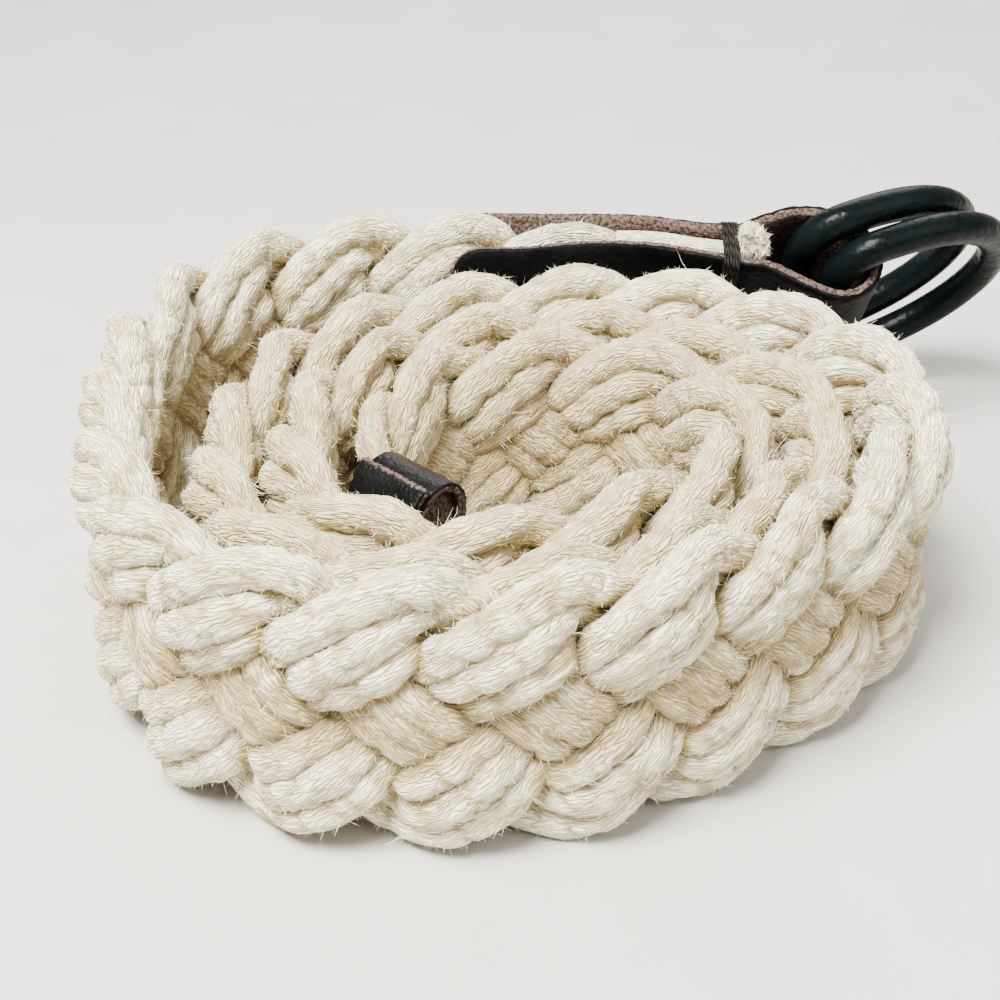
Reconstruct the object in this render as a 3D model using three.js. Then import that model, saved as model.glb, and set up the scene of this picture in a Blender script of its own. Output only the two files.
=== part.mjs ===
// A braided cotton rope belt, wound into a coil that stands on its edge.
// Its outer end is held in a folded leather tab that carries two D-rings,
// and its inner end is finished by a wrapped leather tip.
// Millimetres, +Z up, resting on z = 0.
import * as THREE from 'three';

// Belt: four strands, each of three cords side by side
const STRANDS = 4;
const CORD_DIAMETER = 6.1;
const STRAND_WIDTH = 17.5;
const CROSSING_SPACING = 22.4;
const STRAND_PERIOD = STRANDS * CROSSING_SPACING;
const FIRST_PHASE = 0.14;
const OUTER_LAP_WIDTH = 51;
const INNER_LAP_WIDTH = 45.5;
const WIDTH_CHANGE_FROM = 330;
const WIDTH_CHANGE_TO = 520;
const TURN_ROUNDNESS = 0.93;

// Coil: distance from the pole to the middle of the belt, a row for each lap
const POLE = { x: 3, y: -2 };
const LAPS = [
  { n: 74.5, nw: 82.0, w: 70.0, sw: 69.0, s: 61.5, se: 58.5, e: 68.5, ne: 61.5 },
  { n: 53.5, nw: 51.5, w: 50.8, sw: 54.2, s: 48.6, se: 45.6, e: 53.8, ne: 48.6 },
  { n: 40.6, nw: 38.6, w: 38.0, sw: 41.2, s: 35.8, se: 32.8, e: 39.6, ne: 35.8 },
  { n: 27.8, nw: 25.8, w: 24.4, sw: 22.4 },
];
const COMPASS = ['n', 'nw', 'w', 'sw', 's', 'se', 'e', 'ne'];
const COMPASS_STEP = 45;
const LEAD_IN_RADIUS = 90;
const LEAD_OUT_RADIUS = 20;
const START_ANGLE = 75;
const END_ANGLE = 90 + 3 * 360 + 153;
// How far the foot of the belt stands out under its top edge, on each side of the coil
const FOOT_LEAN = { n: 0, nw: 0, w: 1, sw: 1, s: -1.5, se: -2.2, e: -0.8, ne: 0 };

// Middle of the whole belt's box, moved to the origin
const BOX_CENTRE = { x: 17.85, y: 16.0 };

// Mesh steps
const STATION_STEP = 5.1;
const SIDE_LEVELS = 9;
const EDGE_FLAT = 4.6;
const GAP = 0.35;

// Leather and thread
const LEATHER = 2.2;
const TAB_WIDTH = 41.5;
const TIP_LEATHER = 1.6;
const TIP_LENGTH = 15.5;
const TIP_HEIGHT = 38;
const TIP_OVERLAP = 8;
const THREAD = 0.95;
const THREAD_TURNS = 4;

// D-rings
const ROD = 7;
const BAR_HALF = 25.15;
const RING_DEPTH = 40;
const RING_CORNER = 9;
const RING_ARM = 12;
const LOOP_LEAN = 39.2;
const RING_SWING = 19.5;
const NEAR_BAR = { x: 69.9, y: 73.0, z: 27.6 };
const FAR_BAR_SHIFT = { along: -6.8, across: 6.1 };

const rad = THREE.MathUtils.degToRad;
const vec = (x, y, z) => new THREE.Vector3(x, y, z);
const smooth = (a, b, t) => THREE.MathUtils.smoothstep(t, a, b);
const mix = THREE.MathUtils.lerp;

// A smooth curve through evenly spaced values
function through(values, at) {
  const i = Math.min(Math.max(Math.floor(at), 1), values.length - 3);
  const t = at - i;
  const [a, b, c, d] = values.slice(i - 1, i + 3);
  const linear = c - a;
  const square = 2 * a - 5 * b + 4 * c - d;
  const cube = -a + 3 * b - 3 * c + d;
  return 0.5 * (2 * b + linear * t + square * t * t + cube * t * t * t);
}

// Distance from the pole at an angle, counted on through the laps
const lapRadii = LAPS.flatMap((lap) => COMPASS.filter((c) => c in lap).map((c) => lap[c]));
const radii = [LEAD_IN_RADIUS, ...lapRadii, LEAD_OUT_RADIUS];

function coilPoint(angle) {
  const r = through(radii, (angle - COMPASS_STEP) / COMPASS_STEP);
  return vec(POLE.x + r * Math.cos(rad(angle)), POLE.y + r * Math.sin(rad(angle)), 0);
}

// The middle line of the belt as a curve whose length runs from the tab inwards
class CoilCurve extends THREE.Curve {
  getPoint(t) {
    return coilPoint(mix(START_ANGLE, END_ANGLE, t));
  }
}
const coil = new CoilCurve();
coil.arcLengthDivisions = 2400;
const BELT_LENGTH = coil.getLength();

function coilFrame(along) {
  const u = along / BELT_LENGTH;
  const at = coil.getPointAt(u);
  const way = coil.getTangentAt(u);
  const out = vec(way.y, -way.x, 0);
  return { at, way, out };
}

function footLean(at) {
  const angle = THREE.MathUtils.radToDeg(Math.atan2(at.y - POLE.y, at.x - POLE.x));
  const turned = ((angle + 270) % 360) / COMPASS_STEP;
  const i = Math.floor(turned);
  const [from, to] = [COMPASS[i], COMPASS[(i + 1) % COMPASS.length]];
  return mix(FOOT_LEAN[from], FOOT_LEAN[to], smooth(0, 1, turned - i));
}

// Where a strand is across the belt (-1 bottom, 1 top) and which face it is on
function strandHeight(phase) {
  const swing = -Math.cos(2 * Math.PI * phase);
  return Math.asin(TURN_ROUNDNESS * swing) / Math.asin(TURN_ROUNDNESS);
}

function strandFace(phase) {
  const wave = 1.2 * Math.sin(6 * Math.PI * phase) + 0.5 * Math.sin(2 * Math.PI * phase);
  return Math.tanh(1.5 * wave) / Math.tanh(1.5);
}

function beltWidth(along) {
  return mix(OUTER_LAP_WIDTH, INNER_LAP_WIDTH, smooth(WIDTH_CHANGE_FROM, WIDTH_CHANGE_TO, along));
}

// The strands that a cut through the belt meets
function strandsAt(along) {
  const width = beltWidth(along);
  const reach = (width - STRAND_WIDTH) / 2;
  const rows = [];
  for (let k = 0; k < STRANDS; k += 1) {
    const phase = along / STRAND_PERIOD + k / STRANDS + FIRST_PHASE;
    const rise = strandHeight(phase + 0.01) - strandHeight(phase - 0.01);
    const slope = (rise * reach) / (0.02 * STRAND_PERIOD);
    rows.push({
      z: width / 2 + reach * strandHeight(phase),
      face: (strandFace(phase) * CORD_DIAMETER) / 2,
      half: (STRAND_WIDTH / 2) * Math.hypot(1, slope * 0.75),
    });
  }
  return rows;
}

// A closed solid through rings of points; point i and its mirror in the list face each other
function loft(rings, closed = false) {
  const count = rings[0].length;
  const positions = rings.flat().flatMap((p) => [p.x, p.y, p.z]);
  const index = [];
  const last = closed ? rings.length : rings.length - 1;
  for (let i = 0; i < last; i += 1) {
    const here = i * count;
    const next = ((i + 1) % rings.length) * count;
    for (let j = 0; j < count; j += 1) {
      const k = (j + 1) % count;
      index.push(here + j, next + j, next + k);
      index.push(here + j, next + k, here + k);
    }
  }
  if (!closed) {
    const end = (rings.length - 1) * count;
    for (let j = 0; j < count / 2 - 1; j += 1) {
      const mirror = count - 1 - j;
      index.push(j, j + 1, mirror - 1, j, mirror - 1, mirror);
      index.push(end + j, end + mirror - 1, end + j + 1);
      index.push(end + j, end + mirror, end + mirror - 1);
    }
  }
  if (signedVolume(positions, index) < 0) index.reverse();
  const geometry = new THREE.BufferGeometry();
  geometry.setAttribute('position', new THREE.Float32BufferAttribute(positions, 3));
  geometry.setIndex(index);
  geometry.computeVertexNormals();
  return geometry;
}

function signedVolume(positions, index) {
  const corner = (n) => vec(...positions.slice(3 * n, 3 * n + 3));
  let sum = 0;
  for (let i = 0; i < index.length; i += 3) {
    sum += corner(index[i]).dot(corner(index[i + 1]).cross(corner(index[i + 2])));
  }
  return sum / 6;
}

function makeMesh(name, geometry, color, roughness, metalness = 0) {
  const material = new THREE.MeshStandardMaterial({ color, roughness, metalness });
  const mesh = new THREE.Mesh(geometry, material);
  mesh.name = name;
  return mesh;
}

// Rope braid: the outer form of the crossing strands, swept along the coil
const TIP_START = BELT_LENGTH - TIP_LENGTH - 2;
const TIP_MIDDLE = 20;
const SECTION_MARGIN = 1.5;

function braidRing(along) {
  const { at, out } = coilFrame(along);
  const strands = strandsAt(along);
  const width = beltWidth(along);
  const inTip = smooth(TIP_START - 22, TIP_START - 2, along);
  const inTab = 1 - smooth(5, 34, along);
  const pressed = mix(mix(1, 0.34, inTip), 0.42, inTab);
  const squeeze = mix(mix(1, (TIP_HEIGHT - 5) / width, inTip), 0.86, inTab);
  const low = Math.max(0, Math.min(...strands.map((s) => s.z - STRAND_WIDTH / 2)) - 0.8);
  const high = Math.min(width, Math.max(...strands.map((s) => s.z + STRAND_WIDTH / 2)) + 0.2);
  const lean = footLean(at) * (1 - inTip);
  const outer = [];
  const inner = [];
  for (let j = 0; j < SIDE_LEVELS; j += 1) {
    const z = mix(low, high, j / (SIDE_LEVELS - 1));
    let front = SECTION_MARGIN;
    let back = -SECTION_MARGIN;
    for (const strand of strands) {
      const off = Math.abs(z - strand.z) / strand.half;
      const bulge = off < 1 ? (CORD_DIAMETER / 2) * Math.sqrt(1 - off ** 3) : -CORD_DIAMETER;
      front = Math.max(front, strand.face + bulge);
      back = Math.min(back, strand.face - bulge);
    }
    const atEdge = j === 0 || j === SIDE_LEVELS - 1;
    if (atEdge) {
      front = EDGE_FLAT / 2;
      back = -EDGE_FLAT / 2;
    }
    const middle = mix(width / 2, TIP_MIDDLE, inTip);
    const level = middle + (z - width / 2) * squeeze;
    const foot = lean * (1 - z / width);
    outer.push(at.clone().addScaledVector(out, front * pressed + foot).setZ(level));
    inner.unshift(at.clone().addScaledVector(out, back * pressed + foot).setZ(level));
  }
  return [...outer, ...inner];
}

function ropeBraid() {
  const steps = Math.round((BELT_LENGTH - 4) / STATION_STEP);
  const rings = [];
  for (let i = 0; i <= steps; i += 1) rings.push(braidRing(mix(0, BELT_LENGTH - 4, i / steps)));
  return makeMesh('rope_braid', loft(rings), 0xe6dfcc, 0.95);
}

// Leather tab: one strip folded round the ring bars, its two leaves over the belt's end.
// Each row gives the middle of the sandwich, its lean and half its spread.
const TAB_ROWS = [
  { x: -10, y: 73.4, z: 25.8, lean: 0, half: 9.3 },
  { x: 4, y: 73.0, z: 26.0, lean: 2, half: 8.6 },
  { x: 18, y: 74.4, z: 26.3, lean: 4, half: 6.8 },
  { x: 31, y: 75.6, z: 26.8, lean: 11, half: 5.0 },
  { x: 42, y: 75.7, z: 27.4, lean: 21, half: 4.2 },
  { x: 50, y: 76.2, z: 28.4, lean: 29, half: 4.4 },
];
// The loop in its own plane, measured from the near ring's bar: near leaf, nose, far leaf
const LOOP_ROWS = [
  { along: -14, across: 0.3 },
  { along: -10, across: -1.6 },
  { along: -6.2, across: -3.6 },
  { along: -3, across: -5.2 },
  { along: 0.3, across: -6.0 },
  { along: 4.0, across: -5.1 },
  { along: 7.0, across: -2.0 },
  { along: 7.9, across: 2.4 },
  { along: 6.4, across: 7.0 },
  { along: 2.6, across: 11.2 },
  { along: -2.9, across: 13.2 },
  { along: -8.5, across: 13.3 },
  { along: -13, across: 12.0 },
];

const upLoop = vec(0, -Math.sin(rad(LOOP_LEAN)), Math.cos(rad(LOOP_LEAN)));
const acrossLoop = vec(0, Math.cos(rad(LOOP_LEAN)), Math.sin(rad(LOOP_LEAN)));
const alongLoop = vec(1, 0, 0);
const nearBar = vec(NEAR_BAR.x, NEAR_BAR.y, NEAR_BAR.z);

function inLoop(along, across, up = 0) {
  return nearBar.clone().addScaledVector(alongLoop, along).addScaledVector(acrossLoop, across)
    .addScaledVector(upLoop, up);
}

function tabFrame(row) {
  const up = vec(0, -Math.sin(rad(row.lean)), Math.cos(rad(row.lean)));
  const across = vec(0, Math.cos(rad(row.lean)), Math.sin(rad(row.lean)));
  return { middle: vec(row.x, row.y, row.z), up, across, half: row.half };
}

// A row of the tab anywhere between the named ones
function tabRow(at) {
  const first = TAB_ROWS[0];
  const last = TAB_ROWS[TAB_ROWS.length - 1];
  const column = (key) => through([first, ...TAB_ROWS, last].map((row) => row[key]), at + 1);
  return { x: column('x'), y: column('y'), z: column('z'), lean: column('lean'), half: column('half') };
}

function leafPoint(row, side) {
  const { middle, up, across, half } = tabFrame(row);
  return { at: middle.addScaledVector(across, side * half), up };
}

// The strip's middle line with its height direction
function tabLine() {
  const leafRows = [];
  for (let i = 0; i < 3 * TAB_ROWS.length - 2; i += 1) leafRows.push(tabRow(i / 3));
  const near = leafRows.map((row) => leafPoint(row, -1));
  const far = leafRows.map((row) => leafPoint(row, 1)).reverse();
  const loop = LOOP_ROWS.map((row) => ({ at: inLoop(row.along, row.across), up: upLoop }));
  const rows = [...near, ...loop, ...far];
  const path = new THREE.CatmullRomCurve3(rows.map((row) => row.at), false, 'centripetal');
  const ups = new THREE.CatmullRomCurve3(rows.map((row) => row.up), false, 'centripetal');
  return { path, ups };
}

const TAB_STATIONS = 76;
const TAB_CORNER = 7;

function leatherTab() {
  const { path, ups } = tabLine();
  const rings = [];
  for (let i = 0; i <= TAB_STATIONS; i += 1) {
    const t = path.getUtoTmapping(i / TAB_STATIONS);
    const up = ups.getPoint(t).normalize();
    const side = path.getTangent(t).cross(up).normalize().multiplyScalar(LEATHER / 2);
    const fromEnd = Math.min(i, TAB_STATIONS - i) * (path.getLength() / TAB_STATIONS);
    const into = Math.max(0, TAB_CORNER - fromEnd);
    const cut = TAB_CORNER - Math.sqrt(TAB_CORNER ** 2 - into ** 2);
    const rise = up.clone().multiplyScalar(TAB_WIDTH / 2 - cut * 0.9);
    const at = path.getPoint(t);
    rings.push([
      at.clone().add(side).sub(rise),
      at.clone().add(side).add(rise),
      at.clone().sub(side).add(rise),
      at.clone().sub(side).sub(rise),
    ]);
  }
  return makeMesh('leather_tab', loft(rings), 0x17181a, 0.6);
}

// Cord ends: the flattened ends of the cords between the leaves, with a short tuft past the thread
const CORD_END_FROM = 2.5;
const CORD_END_HALF = 2.4;
const CORD_END_HEIGHT = 19.4;
const TUFT_ROWS = [
  { x: 52, y: 76.7, z: 29.2, lean: 32, half: 2.4 },
  { x: 55, y: 77.6, z: 30.8, lean: 37, half: 2.2 },
];

function cordEnds() {
  const rows = [];
  const lastRow = TAB_ROWS.length - 1;
  for (let i = 0; i <= 9; i += 1) {
    rows.push({ ...tabRow(mix(CORD_END_FROM, lastRow, i / 9)), half: CORD_END_HALF });
  }
  rows.push(...TUFT_ROWS);
  const rings = rows.map((row) => {
    const { middle, up, across, half } = tabFrame(row);
    const corner = (side, end, share) => middle.clone()
      .addScaledVector(across, side * half * share)
      .addScaledVector(up, end * (share < 1 ? CORD_END_HEIGHT : CORD_END_HEIGHT - 1.4));
    return [
      corner(1, -1, 0.5), corner(1, -1, 1), corner(1, 1, 1), corner(1, 1, 0.5),
      corner(-1, 1, 0.5), corner(-1, 1, 1), corner(-1, -1, 1), corner(-1, -1, 0.5),
    ];
  });
  return makeMesh('cord_ends', loft(rings), 0xe9e3d2, 0.95);
}

// Thread binding: a few turns of waxed thread over the tab's top edge
const THREAD_ROW = 4.68;
const TAB_ROW_SPACING = 8;
const THREAD_REACH = 13;

function threadBinding() {
  const reach = tabRow(THREAD_ROW).half + LEATHER / 2 + 2.6 * GAP;
  const top = TAB_WIDTH / 2 + GAP;
  const outline = [
    [-reach, top - THREAD_REACH], [-reach, top - 1], [-reach + 1, top],
    [reach - 1, top], [reach, top - 1], [reach, top - THREAD_REACH],
  ];
  const outer = outline.map(([a, b]) => [a + Math.sign(a) * THREAD, b + (b >= top - 1 ? THREAD : 0)]);
  const rings = [];
  const place = (along, [a, b]) => {
    const { middle, up, across } = tabFrame(tabRow(THREAD_ROW + along / TAB_ROW_SPACING));
    return middle.addScaledVector(across, a).addScaledVector(up, b);
  };
  for (let turn = 0; turn < THREAD_TURNS; turn += 1) {
    for (const [share, sink] of [[0.04, 0.45], [0.5, 0], [0.96, 0.45]]) {
      const along = (turn + share - THREAD_TURNS / 2) * THREAD;
      const skin = outer.map(([a, b], i) => [mix(a, outline[i][0], sink), mix(b, outline[i][1], sink)]);
      rings.push([...skin.map((p) => place(along, p)), ...outline.map((p) => place(along, p)).reverse()]);
    }
  }
  return makeMesh('thread_binding', loft(rings), 0x1c1a19, 0.7);
}

// D-rings: a round rod bent into a straight bar and a bow
const RING_STATIONS = 48;
const RING_SIDES = 12;

function ringOutline() {
  const path = new THREE.Path();
  const bowReach = RING_DEPTH - RING_ARM;
  path.moveTo(0, 0);
  path.lineTo(0, BAR_HALF - RING_CORNER);
  path.absarc(RING_CORNER, BAR_HALF - RING_CORNER, RING_CORNER, Math.PI, Math.PI / 2, true);
  path.lineTo(RING_ARM, BAR_HALF);
  path.absellipse(RING_ARM, 0, bowReach, BAR_HALF, Math.PI / 2, -Math.PI / 2, true);
  path.lineTo(RING_CORNER, -BAR_HALF);
  path.absarc(RING_CORNER, RING_CORNER - BAR_HALF, RING_CORNER, -Math.PI / 2, -Math.PI, true);
  path.lineTo(0, 0);
  return path.getSpacedPoints(RING_STATIONS).slice(0, RING_STATIONS);
}

function dRing(name, bar) {
  const swing = new THREE.Matrix4().makeRotationAxis(upLoop, rad(RING_SWING));
  const reach = alongLoop.clone().applyMatrix4(swing);
  const normal = upLoop.clone().cross(reach);
  const outline = ringOutline();
  const rings = outline.map((point, i) => {
    const before = outline[(i + RING_STATIONS - 1) % RING_STATIONS];
    const after = outline[(i + 1) % RING_STATIONS];
    const way = after.clone().sub(before).normalize();
    const centre = reach.clone().multiplyScalar(point.x).addScaledVector(upLoop, point.y);
    const side = reach.clone().multiplyScalar(-way.y).addScaledVector(upLoop, way.x);
    const ring = [];
    for (let j = 0; j < RING_SIDES; j += 1) {
      const turn = (2 * Math.PI * j) / RING_SIDES;
      ring.push(centre.clone().addScaledVector(side, (ROD / 2) * Math.cos(turn))
        .addScaledVector(normal, (ROD / 2) * Math.sin(turn)));
    }
    return ring;
  });
  const mesh = makeMesh(name, loft(rings, true), 0x15191d, 0.35, 0.3);
  mesh.position.copy(bar);
  return mesh;
}

// Leather tip: a strip wrapped once round the belt's inner end, its free edge lapped over the start
const TIP_STATIONS = 40;
const TIP_ROUND = 4.8;
const TIP_STRAIGHT = TIP_HEIGHT - 2 * TIP_ROUND;
const TIP_LAP = 2 * (TIP_STRAIGHT + Math.PI * TIP_ROUND);
const TIP_SEAM = TIP_STRAIGHT - 7;

// A place on the wrap, outwards and upwards from its middle; the last part lies over the first
function wrapPoint(wound) {
  const r = TIP_ROUND + (TIP_LEATHER + GAP) * smooth(TIP_LAP - 9, TIP_LAP - 1, wound);
  const place = (TIP_SEAM + wound) % TIP_LAP;
  const half = TIP_STRAIGHT / 2;
  const bend = Math.PI * TIP_ROUND;
  if (place < TIP_STRAIGHT) return [r, place - half];
  if (place < TIP_STRAIGHT + bend) {
    const turn = (place - TIP_STRAIGHT) / TIP_ROUND;
    return [r * Math.cos(turn), half + r * Math.sin(turn)];
  }
  if (place < 2 * TIP_STRAIGHT + bend) return [-r, half + TIP_STRAIGHT + bend - place];
  const turn = (place - 2 * TIP_STRAIGHT - bend) / TIP_ROUND;
  return [-r * Math.cos(turn), -half - r * Math.sin(turn)];
}

function leatherTip() {
  const { at, way, out } = coilFrame(TIP_START + TIP_LENGTH / 2);
  const place = (a, b, end) => at.clone().addScaledVector(out, a).setZ(TIP_MIDDLE + b)
    .addScaledVector(way, (end * TIP_LENGTH) / 2);
  const rings = [];
  for (let i = 0; i <= TIP_STATIONS; i += 1) {
    const wound = ((TIP_LAP + TIP_OVERLAP) * i) / TIP_STATIONS;
    const [a, b] = wrapPoint(wound);
    const [c, d] = wrapPoint(wound + 0.02);
    const size = Math.hypot(c - a, d - b);
    const across = ((d - b) / size) * (TIP_LEATHER / 2);
    const up = ((a - c) / size) * (TIP_LEATHER / 2);
    rings.push([
      place(a + across, b + up, -1), place(a + across, b + up, 1),
      place(a - across, b - up, 1), place(a - across, b - up, -1),
    ]);
  }
  return makeMesh('leather_tip', loft(rings), 0x14171a, 0.45);
}

const belt = new THREE.Group();
belt.add(ropeBraid());
belt.add(cordEnds());
belt.add(leatherTab());
belt.add(threadBinding());
belt.add(dRing('ring_near', nearBar));
belt.add(dRing('ring_far', inLoop(FAR_BAR_SHIFT.along, FAR_BAR_SHIFT.across)));
belt.add(leatherTip());
belt.position.set(-BOX_CENTRE.x, -BOX_CENTRE.y, 0);

export default belt;
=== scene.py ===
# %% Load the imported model
import math

import bpy
import numpy as np
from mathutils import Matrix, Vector
from mathutils.kdtree import KDTree


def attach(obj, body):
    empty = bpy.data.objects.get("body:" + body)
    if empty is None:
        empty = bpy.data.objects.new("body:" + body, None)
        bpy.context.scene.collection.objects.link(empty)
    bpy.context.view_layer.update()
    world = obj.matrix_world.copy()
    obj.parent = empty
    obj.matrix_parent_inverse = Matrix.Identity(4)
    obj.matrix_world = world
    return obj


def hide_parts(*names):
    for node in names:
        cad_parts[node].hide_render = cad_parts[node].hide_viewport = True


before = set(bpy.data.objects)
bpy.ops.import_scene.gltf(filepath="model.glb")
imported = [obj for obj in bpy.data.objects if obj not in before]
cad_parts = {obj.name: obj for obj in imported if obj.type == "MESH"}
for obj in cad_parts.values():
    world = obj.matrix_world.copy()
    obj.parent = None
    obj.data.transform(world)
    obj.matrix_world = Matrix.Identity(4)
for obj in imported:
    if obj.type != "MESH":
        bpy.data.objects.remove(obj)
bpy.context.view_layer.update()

# %% [markdown]
# The camera comes first, so that every later step can be judged through it.
# The belt was photographed from the front at about 31 degrees above the table,
# from roughly a third of a metre away, so the near side looks clearly larger
# than the far side. A short distance with a 61 mm lens gives that perspective.

# %% The camera
CAMERA_PLACE = (-0.01785, -0.2799, 0.1832)
CAMERA_TILT = math.radians(90 - 31.09)
LENS = 61.2


def make_camera():
    data = bpy.data.cameras.new("photo_camera")
    data.lens = LENS
    data.sensor_width = 36
    data.clip_start = 0.01
    camera = bpy.data.objects.new("photo_camera", data)
    camera.location = CAMERA_PLACE
    camera.rotation_euler = (CAMERA_TILT, 0, 0)
    bpy.context.collection.objects.link(camera)
    bpy.context.scene.camera = camera
    return camera


make_camera()
print("camera at", CAMERA_PLACE)

# %% [markdown]
# The belt is wound into a coil that stands on its edge. A spiral with even
# steps would be one short formula, but this coil is pressed out of round. So its
# middle line is named by its distance from a pole, at eight compass points for
# each lap, the same rows that the solid model is built from, and a smooth curve
# runs through them. BOX_CENTRE is the middle of the solids' box in the coil's
# own measures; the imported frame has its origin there.

# %% The coil's radii
BOX_CENTRE = np.array([0.01785, 0.0160, 0])
POLE = np.array([0.003, -0.002])
COMPASS = ["n", "nw", "w", "sw", "s", "se", "e", "ne"]
LAPS = [
    dict(n=0.0745, nw=0.0820, w=0.0700, sw=0.0690, s=0.0615, se=0.0585, e=0.0685, ne=0.0615),
    dict(n=0.0535, nw=0.0515, w=0.0508, sw=0.0542, s=0.0486, se=0.0456, e=0.0538, ne=0.0486),
    dict(n=0.0406, nw=0.0386, w=0.0380, sw=0.0412, s=0.0358, se=0.0328, e=0.0396, ne=0.0358),
    dict(n=0.0278, nw=0.0258, w=0.0244, sw=0.0224),
]
COMPASS_STEP = 45
LEAD_IN_RADIUS = 0.090
LEAD_OUT_RADIUS = 0.020
START_ANGLE = 75
END_ANGLE = 90 + 3 * 360 + 153
print("the coil turns", round((END_ANGLE - START_ANGLE) / 360, 2), "times")

# %% [markdown]
# Three small helpers turn the named values into smooth changes: an eased step
# from 0 to 1, a mix of two values, and a curve through evenly spaced values.

# %% Helpers for smooth changes
def smooth(start, end, value):
    share = np.clip((value - start) / (end - start), 0, 1)
    return share * share * (3 - 2 * share)


def mix(a, b, share):
    return a + (b - a) * share


def through(values, at):
    """A smooth curve through evenly spaced values, read at any place between them."""
    i = np.clip(np.floor(at).astype(int), 1, len(values) - 3)
    t = at - i
    a, b, c, d = (values[i + k] for k in (-1, 0, 1, 2))
    square = 2 * a - 5 * b + 4 * c - d
    cube = -a + 3 * b - 3 * c + d
    return 0.5 * (2 * b + (c - a) * t + square * t**2 + cube * t**3)

# %% [markdown]
# With them the spiral is drawn once, finely, and measured along its length.
# Everything in the braid is placed by how far along the belt it lies.

# %% The coil's path
lap_radii = [lap[point] for lap in LAPS for point in COMPASS if point in lap]
radii = np.array([LEAD_IN_RADIUS, *lap_radii, LEAD_OUT_RADIUS])
turned = np.linspace(START_ANGLE, END_ANGLE, 6001)
reach_out = through(radii, (turned - COMPASS_STEP) / COMPASS_STEP)
plan_x = POLE[0] + reach_out * np.cos(np.radians(turned))
plan_y = POLE[1] + reach_out * np.sin(np.radians(turned))
plan_along = np.concatenate([[0], np.cumsum(np.hypot(np.diff(plan_x), np.diff(plan_y)))])
plan_way_x = np.gradient(plan_x, plan_along)
plan_way_y = np.gradient(plan_y, plan_along)
BELT_LENGTH = plan_along[-1]


def on_coil(along):
    """Place and outward direction on the middle line, along being metres from the tab."""
    inside = np.clip(along, 0, BELT_LENGTH)
    way = np.column_stack([np.interp(inside, plan_along, w) for w in (plan_way_x, plan_way_y)])
    at = np.column_stack([np.interp(inside, plan_along, p) for p in (plan_x, plan_y)])
    at = at + way * (along - inside)[:, None]
    out = np.column_stack([way[:, 1], -way[:, 0]])
    return at, out


print(f"belt length {BELT_LENGTH:.3f} m")

# %% [markdown]
# A flat braid of four strands: each strand climbs from the bottom edge to the
# top edge and back, and lies on the outer face near the edges and on the inner
# face in the middle, or the other way round on its way down. Each strand is
# three thick soft cords side by side, so the braid has twelve cords. A band with
# the pattern as relief would be lighter, but the lobes stand out at the belt's
# outline and the strands pass behind each other, so every cord is real.

# %% The braid's plan
STRANDS = 4
CORDS = 3
CORD_DIAMETER = 0.0061
CORD_SPACING = 0.0053
STRAND_WIDTH = 0.0175
CROSSING_SPACING = 0.0224
STRAND_PERIOD = STRANDS * CROSSING_SPACING
FIRST_PHASE = 0.14
OUTER_LAP_WIDTH = 0.051
INNER_LAP_WIDTH = 0.0455
WIDTH_CHANGE_FROM = 0.330
WIDTH_CHANGE_TO = 0.520
TURN_ROUNDNESS = 0.93
FACE_FLATNESS = 1.5
FOOT_LEAN = dict(n=0, nw=0, w=0.0010, sw=0.0010, s=-0.0015, se=-0.0022, e=-0.0008, ne=0)
TIP_LENGTH = 0.0155
TIP_HEIGHT = 0.038
TIP_MIDDLE = 0.020
TIP_START = BELT_LENGTH - TIP_LENGTH - 0.002


def strand_height(phase):
    """From -1 at the belt's bottom edge to 1 at its top edge, turning round in a lobe."""
    swing = -np.cos(2 * np.pi * phase)
    return np.arcsin(TURN_ROUNDNESS * swing) / math.asin(TURN_ROUNDNESS)


def strand_face(phase):
    """From -1 on the belt's inner face to 1 on its outer face."""
    wave = 1.2 * np.sin(6 * np.pi * phase) + 0.5 * np.sin(2 * np.pi * phase)
    return np.tanh(FACE_FLATNESS * wave) / math.tanh(FACE_FLATNESS)


def belt_width(along):
    """The belt's width, which is less on the inner laps."""
    return mix(OUTER_LAP_WIDTH, INNER_LAP_WIDTH, smooth(WIDTH_CHANGE_FROM, WIDTH_CHANGE_TO, along))


print("lobes along each edge:", round(BELT_LENGTH / CROSSING_SPACING))

# %% [markdown]
# The belt doesn't stand quite upright: its foot leans out or in a little on each
# side of the coil. At the tab and at the wrapped tip the braid is pressed thin.

# %% The belt's lean and its two ends
def foot_lean(at):
    """How far the belt's foot stands out under its top edge, on each side of the coil."""
    offset = at - POLE
    point = (np.degrees(np.arctan2(offset[:, 1], offset[:, 0])) + 270) % 360 / COMPASS_STEP
    i = np.floor(point).astype(int)
    leans = np.array([FOOT_LEAN[name] for name in [*COMPASS, COMPASS[0]]])
    return mix(leans[i], leans[i + 1], smooth(0, 1, point - i))


def in_tip(along):
    """From 0 in the open braid to 1 where the tip presses it thin."""
    return smooth(TIP_START - 0.022, TIP_START - 0.002, along)


def in_tab(along):
    """From 1 where the tab presses the braid thin to 0 in the open braid."""
    return 1 - smooth(0.005, 0.034, along)

# %% [markdown]
# One function turns a place in the belt into a place in the scene, so the cords
# can be laid out as if the belt were straight and then follow the coil.

# %% From the belt to the scene
TIP_THINNESS = 0.34
TAB_THINNESS = 0.42
TAB_SQUEEZE = 0.86
INSIDE_TIP = TIP_HEIGHT - 0.005


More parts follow.
